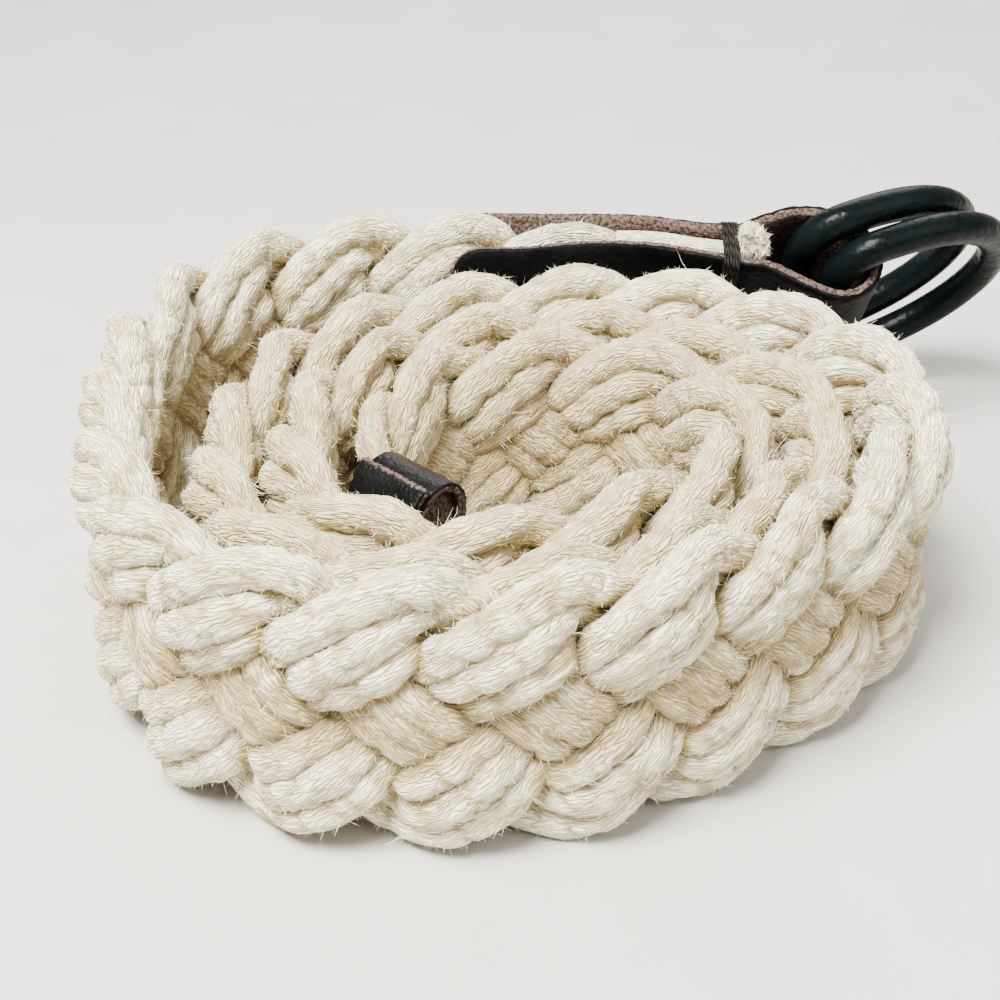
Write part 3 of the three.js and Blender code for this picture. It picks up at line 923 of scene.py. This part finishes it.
# %% Sizes of the tab
LEATHER = 0.0022
TAB_WIDTH = 0.0415
LOOP_LEAN = math.radians(39.2)
NEAR_BAR = np.array([0.0699, 0.0730, 0.0276])
TAB_CORNER = 0.007
TAB_ROWS = [
    dict(x=-0.010, y=0.0734, z=0.0258, lean=0, half=0.0093),
    dict(x=0.004, y=0.0730, z=0.0260, lean=2, half=0.0086),
    dict(x=0.018, y=0.0744, z=0.0263, lean=4, half=0.0068),
    dict(x=0.031, y=0.0756, z=0.0268, lean=11, half=0.0050),
    dict(x=0.042, y=0.0757, z=0.0274, lean=21, half=0.0042),
    dict(x=0.050, y=0.0762, z=0.0284, lean=29, half=0.0044),
]
LOOP_ROWS = [
    dict(along=-0.0140, across=0.0003),
    dict(along=-0.0100, across=-0.0016),
    dict(along=-0.0062, across=-0.0036),
    dict(along=-0.0030, across=-0.0052),
    dict(along=0.0003, across=-0.0060),
    dict(along=0.0040, across=-0.0051),
    dict(along=0.0070, across=-0.0020),
    dict(along=0.0079, across=0.0024),
    dict(along=0.0064, across=0.0070),
    dict(along=0.0026, across=0.0112),
    dict(along=-0.0029, across=0.0132),
    dict(along=-0.0085, across=0.0133),
    dict(along=-0.0130, across=0.0120),
]
UP_LOOP = np.array([0, -math.sin(LOOP_LEAN), math.cos(LOOP_LEAN)])
ACROSS_LOOP = np.array([0, math.cos(LOOP_LEAN), math.sin(LOOP_LEAN)])
ALONG_LOOP = np.array([1.0, 0, 0])


def in_loop(along, across):
    """Turns a place in the loop, measured from the near ring's bar, into the coil's own measures."""
    return NEAR_BAR + ALONG_LOOP * along + ACROSS_LOOP * across


print("the tab is", TAB_WIDTH, "m wide and", LEATHER, "m thick")

# %% [markdown]
# The leaves are given as rows: where the sandwich of leather and cord ends is at
# that place, how far it leans over, and half its thickness. Between the rows a
# smooth curve is read, and each row has its own up and across directions.

# %% Rows of the tab
def tab_row(at):
    """A row of the tab anywhere between the named ones, as arrays."""
    rows = [TAB_ROWS[0], *TAB_ROWS, TAB_ROWS[-1]]
    at = np.asarray(at, float)
    return {key: through(np.array([row[key] for row in rows]), at + 1) for key in TAB_ROWS[0]}


def tab_frame(row):
    """Middle, height direction and thickness direction of the sandwich."""
    lean = np.radians(row["lean"])
    zero = np.zeros_like(lean)
    middle = np.stack([row["x"], row["y"], row["z"]], -1)
    up = np.stack([zero, -np.sin(lean), np.cos(lean)], -1)
    across = np.stack([zero, np.cos(lean), np.sin(lean)], -1)
    return middle, up, across

# %% [markdown]
# The strip's line runs down one leaf, round the loop and back up the other. Its
# points are unevenly spaced, and a plain smooth curve would overshoot there, so
# a centripetal one is used, which keeps tight bends round.

# %% The tab's line
def curve_through(points, at):
    """The centripetal curve through points, read at fractions of their number."""
    points = np.asarray(points, float)
    ends = (2 * points[0] - points[1], 2 * points[-1] - points[-2])
    points = np.vstack([ends[0], points, ends[1]])
    i = np.clip(np.floor(at).astype(int), 0, len(points) - 4)
    t = (at - i)[:, None]
    a, b, c, d = (points[i + k] for k in range(4))
    gap0, gap1, gap2 = (np.sqrt(np.linalg.norm(q - p, axis=1, keepdims=True))
                        for p, q in ((a, b), (b, c), (c, d)))
    leave = ((b - a) / gap0 - (c - a) / (gap0 + gap1) + (c - b) / gap1) * gap1
    arrive = ((c - b) / gap1 - (d - b) / (gap1 + gap2) + (d - c) / gap2) * gap1
    cube = 2 * b - 2 * c + leave + arrive
    square = -3 * b + 3 * c - 2 * leave - arrive
    return cube * t**3 + square * t**2 + leave * t + b


def tab_line(stations):
    row = tab_row(np.arange(3 * len(TAB_ROWS) - 2) / 3)
    middle, up, across = tab_frame(row)
    near = middle - across * row["half"][:, None]
    far = (middle + across * row["half"][:, None])[::-1]
    loop = np.array([in_loop(r["along"], r["across"]) for r in LOOP_ROWS])
    points = np.vstack([near, loop, far])
    ups = np.vstack([up, np.tile(UP_LOOP, (len(loop), 1)), up[::-1]])
    fine = np.linspace(0, len(points) - 1, 4000)
    line = curve_through(points, fine)
    up_line = np.column_stack([np.interp(fine, range(len(ups)), ups[:, k]) for k in range(3)])
    length = np.concatenate([[0], np.cumsum(np.linalg.norm(np.diff(line, axis=0), axis=1))])
    at = np.linspace(0, length[-1], stations)
    even_line, even_up = (
        np.column_stack([np.interp(at, length, values[:, k]) for k in range(3)])
        for values in (line, up_line))
    return even_line, unit(even_up), at

# %% [markdown]
# The tab's free corners are cut round, and its edges wander a tenth of a
# millimetre, as a hand-cut edge does.

# %% The folded tab
TAB_STATIONS = 300
tab_at, tab_up, tab_length = tab_line(TAB_STATIONS)
tab_out = np.cross(np.gradient(tab_at, axis=0), tab_up)
from_end = np.minimum(tab_length, tab_length[-1] - tab_length)
into_corner = np.maximum(0, TAB_CORNER - from_end)
corner_cut = (TAB_CORNER - np.sqrt(TAB_CORNER**2 - into_corner**2)) * 0.9
waves = wander(tab_length, 0.00012)
tab, rings = leather_strip(
    "folded_tab", tab_at - BOX_CENTRE, tab_up, tab_out,
    TAB_WIDTH / 2 - corner_cut + waves, LEATHER, (tab_leather, raw_edge), 0.00006)
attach(tab, "belt")
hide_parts("leather_tab")
print("the folded strip is", round(tab_length[-1], 3), "m long")

# %% [markdown]
# Between the leaves the twelve cords end side by side, pressed flat. Only the
# upper ones show, as pale lines between two edges of leather, but a single pale
# sheet would look like paper there. Each is swept along the rows of the tab at
# its own level.

# %% Cord ends
CORD_END_FROM = 2.5
CORD_END_HALF = 0.0024
CORD_END_HALF_SIDE = 0.00185
CORD_END_HEIGHT = 0.0194
CORD_END_STATIONS = 40
END_SIDES = 12


def cord_ends():
    sweeps = Sweeps()
    row = tab_row(np.linspace(CORD_END_FROM, len(TAB_ROWS) - 1, CORD_END_STATIONS))
    middle, up, across = tab_frame(row)
    levels = np.linspace(-1, 1, len(cords)) * (CORD_END_HEIGHT - 0.0014)
    for level in levels:
        line = middle + up * (level + wander(row["x"], 0.0002))[:, None] - BOX_CENTRE
        half_out = CORD_END_HALF * (0.92 + wander(row["x"], 0.03))
        half_side = np.full(len(line), CORD_END_HALF_SIDE)
        rings = round_rings(line, across, half_out, half_side, END_SIDES)
        length = row["x"] - row["x"][0]
        sweeps.add(rings, length + level * 9, np.linspace(0, 0.014, END_SIDES + 1))
    piece = sweeps.piece("pressed_cord_ends", rope_cotton)
    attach(piece, "belt")
    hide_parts("cord_ends")


cord_ends()

# %% [markdown]
# Past the thread the cords come apart into soft knots of loose yarn, a small
# white tuft. Fibres alone would look like a brush, so each knot is a ball pushed
# in and out by slow waves, and fibres are added to it later.

# %% Knots of the tuft
TUFT_KNOTS = [
    dict(x=0.0511, across=0.0000, up=0.0186, size=0.0024),
    dict(x=0.0530, across=0.0000, up=0.0186, size=0.0028),
    dict(x=0.0540, across=-0.0012, up=0.0176, size=0.0021),
    dict(x=0.0528, across=0.0002, up=0.0212, size=0.0020),
    dict(x=0.0511, across=0.0002, up=0.0215, size=0.0017),
    dict(x=0.0510, across=0.0002, up=0.0238, size=0.0015),
    dict(x=0.0520, across=0.0000, up=0.0140, size=0.0030),
]
KNOT_LATITUDES = 26
KNOT_SIDES = 40
KNOT_WAVES = 9
KNOT_LEVEL = 0.62
KNOT_RISE = 0.75
KNOT_SHADE = 1.6


def lumpy_ball(centre, size):
    """Rings of a ball from pole to pole, pushed in and out by slow random waves, and painted shade for its
    dips.
    """
    down = np.linspace(0.02, np.pi - 0.02, KNOT_LATITUDES)[:, None]
    turn = (2 * np.pi * np.arange(KNOT_SIDES) / KNOT_SIDES)[None, :]
    ways = np.stack([np.sin(down) * np.cos(turn), np.sin(down) * np.sin(turn),
                     np.cos(down) * np.ones_like(turn)], -1)
    rise = np.zeros(ways.shape[:2])
    for wave in range(KNOT_WAVES):
        rise += np.abs(np.sin(ways @ rng.normal(scale=3.2, size=3) + rng.uniform(0, 6)))
    rise = rise / KNOT_WAVES - KNOT_LEVEL
    return centre + ways * (size * (1 + KNOT_RISE * rise))[..., None], -rise * KNOT_SHADE

# %% [markdown]
# The knots sit on the last row of the tab, higher as they lie further along, and
# short fibres stand off them.

# %% The frayed tuft
KNOT_FIBRES = 420
TUFT_RISE = 0.45


def frayed_tuft():
    sweeps = Sweeps()
    roots, outs = [], []
    for knot in TUFT_KNOTS:
        row = dict(TAB_ROWS[-1])
        row["x"] = knot["x"]
        row["z"] += (knot["x"] - TAB_ROWS[-1]["x"]) * TUFT_RISE
        middle, up, across = tab_frame({key: np.array(value) for key, value in row.items()})
        centre = middle + across * knot["across"] + up * knot["up"] - BOX_CENTRE
        rings, painted_shades = lumpy_ball(centre, knot["size"])
        sweeps.add(rings, np.linspace(0, knot["size"] * 3, KNOT_LATITUDES),
                   np.linspace(0, knot["size"] * 6, KNOT_SIDES + 1), painted_shades=np.clip(painted_shades, 0, 0.5))
        place = roots_on(rings, KNOT_FIBRES)[0]
        roots.append(place)
        outs.append(unit(place - centre))
    knots = sweeps.piece("tuft_knots", rope_cotton)
    roots, outs = np.concatenate(roots), np.concatenate(outs)
    count = len(roots)
    heading = unit(outs + rng.normal(scale=0.7, size=(count, 3)))
    lengths = rng.uniform(0.0003, 0.0008, count)
    widths = rng.uniform(0.00006, 0.00012, count)
    sag = rng.normal(scale=0.5, size=(count, 3))
    fibres = loose_piece("tuft_fibres", *slivers(roots, heading, lengths, widths, sag), fluff_cotton)
    for part in (knots, fibres):
        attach(part, "belt")
        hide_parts("cord_ends")


frayed_tuft()

# %% [markdown]
# The binding is dark waxed thread. Its twist is a diagonal wave along the flat
# map, its grooves get painted shade, and the wax leaves it matt.

# %% Waxed thread
def waxed_thread(name):
    material, tree, shader = new_material(name)
    flat = add_node(tree, "UVMap").outputs["UV"]
    twist = add_node(tree, "TexWave", {
        "Vector": stretched(tree, 230, 330, flat), "Scale": 1.0, "Distortion": 0.6,
    }, bands_direction="DIAGONAL")
    bump = add_node(tree, "Bump", {"Height": twist.outputs["Fac"], "Distance": 0.0002, "Strength": 0.8})
    tree.links.new(bump.outputs["Normal"], shader.inputs["Normal"])
    # Painted shade: the colour is darker in the grooves of the twist.
    colour = ramp(tree, twist.outputs["Fac"], (0.1, (0.003, 0.0026, 0.0022)), (0.9, (0.018, 0.016, 0.014)))
    tree.links.new(colour, shader.inputs["Base Color"])
    shader.inputs["Roughness"].default_value = 0.75
    shader.inputs["Specular IOR Level"].default_value = 0.12
    return material


thread_wax = waxed_thread("thread_wax")
print("thread nodes:", len(thread_wax.node_tree.nodes))

# %% [markdown]
# The thread is wound a few times over the tab's top edge. One flat band would
# pass for tape, so each turn is a round thread of its own that runs up one leaf,
# over and down the other, leaning to the next.

# %% Thread binding
THREAD = 0.00062
THREAD_TURNS = 6
THREAD_ROW = 4.68
TAB_ROW_SPACING = 0.008
THREAD_REACH = 0.013


def thread_binding():
    sweeps = Sweeps()
    reach = float(tab_row(THREAD_ROW)["half"]) + LEATHER / 2 + THREAD / 2
    top = TAB_WIDTH / 2 + THREAD / 2
    for turn in range(THREAD_TURNS):
        along = (turn + 0.5 - THREAD_TURNS / 2) * THREAD * 0.98
        low = top - THREAD_REACH + rng.uniform(-0.0009, 0.0009)
        side = [(reach - 0.0007, low - 0.0006), (reach, low + 0.0012), (reach, top - 0.004),
                (reach, top - 0.0012), (reach - 0.0011, top)]
        outline = [*[(-a, b) for a, b in side], (0, top + 0.0001), *side[::-1]]
        points = []
        for k, (a, b) in enumerate(outline):
            lean_over = along + 0.0005 * (k / (len(outline) - 1) - 0.5)
            middle, up, across = tab_frame(tab_row(THREAD_ROW + lean_over / TAB_ROW_SPACING))
            points.append(middle + across * a + up * b)
        line = curve_through(np.array(points), np.linspace(0, len(points) - 1, 90)) - BOX_CENTRE
        line, length = even_steps(line, 0.0004)
        facing = np.tile(ALONG_LOOP, (len(line), 1))
        half = np.full(len(line), THREAD / 2)
        rings = round_rings(line, facing, half, half, 8)
        sweeps.add(rings, length, np.linspace(0, np.pi * THREAD, 9))
    piece = sweeps.piece("waxed_binding", thread_wax)
    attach(piece, "belt")
    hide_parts("thread_binding")


thread_binding()

# %% [markdown]
# The rings are round steel rod, bent into a D and painted black. A smooth gloss
# would mirror the whole room. Thick paint settles with a slightly pebbled skin,
# made here of rounded cells and fine noise, which breaks up the reflections.

# %% Black paint
PAINT = (0.0010, 0.0024, 0.0026)
WORN_PAINT = (0.0024, 0.0050, 0.0054)


def black_paint(name):
    material, tree, shader = new_material(name)
    place = add_node(tree, "TexCoord").outputs["Object"]
    pebbles = add_node(tree, "TexVoronoi", {"Vector": place, "Scale": 620.0}, feature="SMOOTH_F1")
    orange = add_node(tree, "TexNoise", {"Vector": place, "Scale": 900.0, "Detail": 3.0})
    height = blend_colours(tree, 0.45, pebbles.outputs["Distance"], orange.outputs["Fac"])
    bump = add_node(tree, "Bump", {"Height": height, "Distance": 0.00045, "Strength": 0.55})
    tree.links.new(bump.outputs["Normal"], shader.inputs["Normal"])
    worn = add_node(tree, "TexNoise", {"Vector": place, "Scale": 140.0, "Detail": 6.0})
    colour = ramp(tree, worn.outputs["Fac"], (0.35, PAINT), (0.75, WORN_PAINT))
    tree.links.new(colour, shader.inputs["Base Color"])
    shine = ramp(tree, worn.outputs["Fac"], (0.3, grey(0.24)), (0.75, grey(0.42)))
    tree.links.new(shine, shader.inputs["Roughness"])
    shader.inputs["Specular IOR Level"].default_value = 0.07
    return material


ring_paint = black_paint("ring_paint")
print("paint nodes:", len(ring_paint.node_tree.nodes))

# %% [markdown]
# Each ring is a D: a straight bar that the leather loop holds, two tight corners
# and a wide bow. A circle cut by a line would have corners that are too sharp,
# so the D is drawn from arcs and straights, as the rod is bent.

# %% The D outline
ROD = 0.0070
BAR_HALF = 0.02515
RING_DEPTH = 0.040
RING_CORNER = 0.009
RING_ARM = 0.012


def ring_outline(count):
    """A D: a straight bar, two rounded corners, short arms and a bow."""
    def arc(x, y, rx, ry, start, end):
        turn = np.radians(np.linspace(start, end, 60))
        return np.column_stack([x + rx * np.cos(turn), y + ry * np.sin(turn)])

    bow = RING_DEPTH - RING_ARM
    corner = BAR_HALF - RING_CORNER
    outline = np.vstack([
        [(0, 0), (0, corner)],
        arc(RING_CORNER, corner, RING_CORNER, RING_CORNER, 180, 90),
        arc(RING_ARM, 0, bow, BAR_HALF, 90, -90),
        arc(RING_CORNER, -corner, RING_CORNER, RING_CORNER, -90, -180),
        [(0, 0)],
    ])
    length = np.concatenate([[0], np.cumsum(np.hypot(*np.diff(outline, axis=0).T))])
    at = np.linspace(0, length[-1], count + 1)
    return np.column_stack([np.interp(at, length, outline[:, k]) for k in range(2)])[:-1], at


print("rod in one ring:", round(ring_outline(4)[1][-1], 3), "m")

# %% [markdown]
# The rod is swept round the D and closed on itself. Both rings hang from their
# bars at the same angle, and each rides on its own body, so that it can swing in
# the loop.

# %% Painted D-rings
RING_STATIONS = 180
ROD_SIDES = 24
RING_SWING = math.radians(19.5)
FAR_BAR = in_loop(-0.0068, 0.0061)


def d_ring(name, bar, body, node):
    reach = ALONG_LOOP * math.cos(RING_SWING) + ACROSS_LOOP * math.sin(RING_SWING)
    normal = np.cross(UP_LOOP, reach)
    outline, length = ring_outline(RING_STATIONS)
    way = unit(np.roll(outline, -1, axis=0) - np.roll(outline, 1, axis=0))
    centre = bar + reach * outline[:, :1] + UP_LOOP * outline[:, 1:]
    side = reach * -way[:, 1:] + UP_LOOP * way[:, :1]
    turn = 2 * np.pi * np.arange(ROD_SIDES) / ROD_SIDES
    rings = (centre[:, None, :] + side[:, None, :] * (ROD / 2 * np.cos(turn))[None, :, None]
             + normal * (ROD / 2 * np.sin(turn))[None, :, None])
    sweeps = Sweeps()
    sweeps.add(rings - BOX_CENTRE, length, np.linspace(0, np.pi * ROD, ROD_SIDES + 1), closed=True)
    piece = sweeps.piece(name, ring_paint)
    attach(piece, body)
    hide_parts(node)


d_ring("painted_ring_near", NEAR_BAR, "near_ring", "ring_near")
d_ring("painted_ring_far", FAR_BAR, "far_ring", "ring_far")

# %% [markdown]
# The tip is a narrow strip wrapped once round the belt's inner end. Its free
# edge laps over the start on the side that faces the viewer, and shows suede. A
# plain tube would hide that lap, so one function says where the strip is after
# so many metres of wrapping, and it stands further out where it laps.

# %% The tip's wrap
TIP_LEATHER = 0.0016
TIP_OVERLAP = 0.0117
TIP_ROUND = 0.0048
TIP_GAP = 0.00035
TIP_STRAIGHT = TIP_HEIGHT - 2 * TIP_ROUND
TIP_BEND = math.pi * TIP_ROUND
TIP_LAP = 2 * (TIP_STRAIGHT + TIP_BEND)
TIP_SEAM = TIP_STRAIGHT - 0.007
print("once round the tip:", round(TIP_LAP, 3), "m")


def wrap_point(wound):
    """A place on the wrap, outwards and upwards from its middle."""
    r = TIP_ROUND + (TIP_LEATHER + TIP_GAP) * smooth(TIP_LAP - 0.009, TIP_LAP - 0.001, wound)
    place = (TIP_SEAM + wound) % TIP_LAP
    half = TIP_STRAIGHT / 2
    if place < TIP_STRAIGHT:
        return r, place - half
    if place < TIP_STRAIGHT + TIP_BEND:
        turn = (place - TIP_STRAIGHT) / TIP_ROUND
        return r * math.cos(turn), half + r * math.sin(turn)
    if place < 2 * TIP_STRAIGHT + TIP_BEND:
        return -r, half + TIP_STRAIGHT + TIP_BEND - place
    turn = (place - 2 * TIP_STRAIGHT - TIP_BEND) / TIP_ROUND
    return -r * math.cos(turn), -half - r * math.sin(turn)

# %% [markdown]
# The strip's rough inner turn fills the tip's open end. Only its end face shows,
# so it is a short plug of suede, drawn in at the end and roughened.

# %% The filled end
FILLING_DEPTH = 0.0062
FILLING_ROWS = [
    dict(along=0.0000, size=1.00),
    dict(along=0.0020, size=1.00),
    dict(along=0.0040, size=1.00),
    dict(along=0.0048, size=0.80),
    dict(along=0.0052, size=0.45),
]


def tip_filling(at, out, way):
    """The strip's rough inner turn, which closes the tip's open end."""
    half = TIP_STRAIGHT / 2
    r = TIP_ROUND - TIP_LEATHER / 2 - 0.0001
    turn = 2 * np.pi * np.arange(40) / 40
    across = r * np.cos(turn)
    upright = r * np.sin(turn) + half * np.sign(np.sin(turn))
    outline = out * across[:, None] + np.array([0, 0, 1.0]) * upright[:, None]
    ends = np.array([row["along"] for row in FILLING_ROWS])
    shrunk = np.array([row["size"] for row in FILLING_ROWS])
    middle = at + way * (TIP_LENGTH / 2 - FILLING_DEPTH + ends)[:, None]
    rings = middle[:, None, :] + outline[None, :, :] * shrunk[:, None, None]
    rings = rings + rng.normal(scale=0.00012, size=rings.shape)
    sweeps = Sweeps()
    sweeps.add(rings, ends, np.linspace(0, 0.05, 41))
    piece = sweeps.piece("tip_filling", raw_edge)
    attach(piece, "belt")
    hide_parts("leather_tip")

# %% [markdown]
# Along the wrap's free edge the leather is torn rather than cut, and its nap
# stands up in a thin ragged line.

# %% The torn seam
SEAM_HALF_WIDTH = 0.0007


def tip_seam(middle, way, outward):
    """The torn suede along the wrap's free edge."""
    along = np.linspace(-0.49, 0.49, 44) * TIP_LENGTH
    line = middle + way * along[:, None] + rng.normal(scale=0.00006, size=(len(along), 3))
    half_out = np.full(len(along), TIP_LEATHER / 2)
    half_side = np.full(len(along), SEAM_HALF_WIDTH)
    facing = np.tile(outward, (len(along), 1))
    rings = round_rings(line, facing, half_out, half_side, 12)
    rings = rings + rng.normal(scale=0.00009, size=rings.shape)
    sweeps = Sweeps()
    sweeps.add(rings, along, np.linspace(0, 0.005, 13))
    piece = sweeps.piece("tip_seam", raw_edge)
    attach(piece, "belt")
    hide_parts("leather_tip")

# %% [markdown]
# The strip itself goes round the belt's end once and laps over its start.

# %% Wrapped tip
TIP_STATIONS = 150


def leather_tip():
    along = np.array([TIP_START + TIP_LENGTH / 2])
    at, out = on_coil(along)
    out = np.array([*out[0], 0])
    way = np.array([-out[1], out[0], 0])
    at = np.array([*at[0], TIP_MIDDLE]) - BOX_CENTRE
    wound = np.linspace(0, TIP_LAP + TIP_OVERLAP, TIP_STATIONS)
    wrap = np.array([wrap_point(w) for w in wound])
    line = at + out * wrap[:, :1] + np.array([0, 0, 1.0]) * wrap[:, 1:]
    outward = np.cross(np.gradient(line, axis=0), way)
    tip_filling(at, out, way)
    if np.sum(outward[10] * (line[10] - at)) < 0:
        way = -way
        outward = -outward
    ways = np.tile(way, (len(line), 1))
    halves = TIP_LENGTH / 2 + wander(wound, 0.00015)
    piece, rings = leather_strip(
        "wrapped_tip", line, ways, outward, halves, TIP_LEATHER, (tip_leather, raw_edge), 0.00005)
    tip_seam(rings[-1].mean(axis=0), unit(way), outward[-1])
    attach(piece, "belt")
    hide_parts("leather_tip")


leather_tip()

# %% [markdown]
# The belt lies on a plain pale floor that fills the camera's view; its edge only
# shows from a low angle. It isn't part of the belt.

# %% Floor
FLOOR_HALF = 1.5


def pale_floor():
    mesh = bpy.data.meshes.new("floor")
    half = FLOOR_HALF
    mesh.from_pydata([(-half, -half, 0), (half, -half, 0), (half, half, 0), (-half, half, 0)],
                     [], [(0, 1, 2, 3)])
    material, tree, shader = new_material("pale_floor")
    place = add_node(tree, "TexCoord").outputs["Object"]
    mottle = add_node(tree, "TexNoise", {"Vector": place, "Scale": 30.0, "Detail": 4.0})
    colour = ramp(tree, mottle.outputs["Fac"], (0.3, (0.50, 0.48, 0.45)), (0.7, (0.54, 0.52, 0.49)))
    tree.links.new(colour, shader.inputs["Base Color"])
    shader.inputs["Roughness"].default_value = 0.8
    mesh.materials.append(material)
    floor = bpy.data.objects.new("floor", mesh)
    bpy.context.collection.objects.link(floor)


pale_floor()
print("the floor is", 2 * FLOOR_HALF, "m wide")

# %% [markdown]
# The light is soft and comes from above, as in a bright room. One lamp would
# leave the hollows between the cords black, so there are three: a large key
# light from the front left, a weak fill from the right, and some light from
# behind to draw the edges of the cords. A pale room lights the rest.

# %% Light
def soft_light(name, place, aim, size, watts, colour):
    data = bpy.data.lights.new(name, "AREA")
    data.size = size
    data.energy = watts
    data.color = colour
    light = bpy.data.objects.new(name, data)
    light.location = place
    direction = np.array(aim, float) - np.array(place, float)
    light.rotation_euler = Vector(direction).to_track_quat("-Z", "Y").to_euler()
    bpy.context.collection.objects.link(light)


soft_light("key", (-0.25, -0.30, 0.75), (0, 0, 0.02), 0.36, 40.0, (1.0, 0.99, 0.95))
soft_light("fill", (0.55, -0.35, 0.55), (0, 0, 0.02), 0.60, 3.5, (1.0, 0.99, 0.96))
soft_light("back", (0.10, 0.70, 0.60), (0, 0, 0.02), 0.60, 8.0, (1.0, 0.99, 0.97))
world = bpy.data.worlds.new("room")
bpy.context.scene.world = world
world.use_nodes = True
world.node_tree.nodes["Background"].inputs["Color"].default_value = (1.0, 0.99, 0.97, 1)
world.node_tree.nodes["Background"].inputs["Strength"].default_value = 0.52
print(len(bpy.data.lights), "lights")
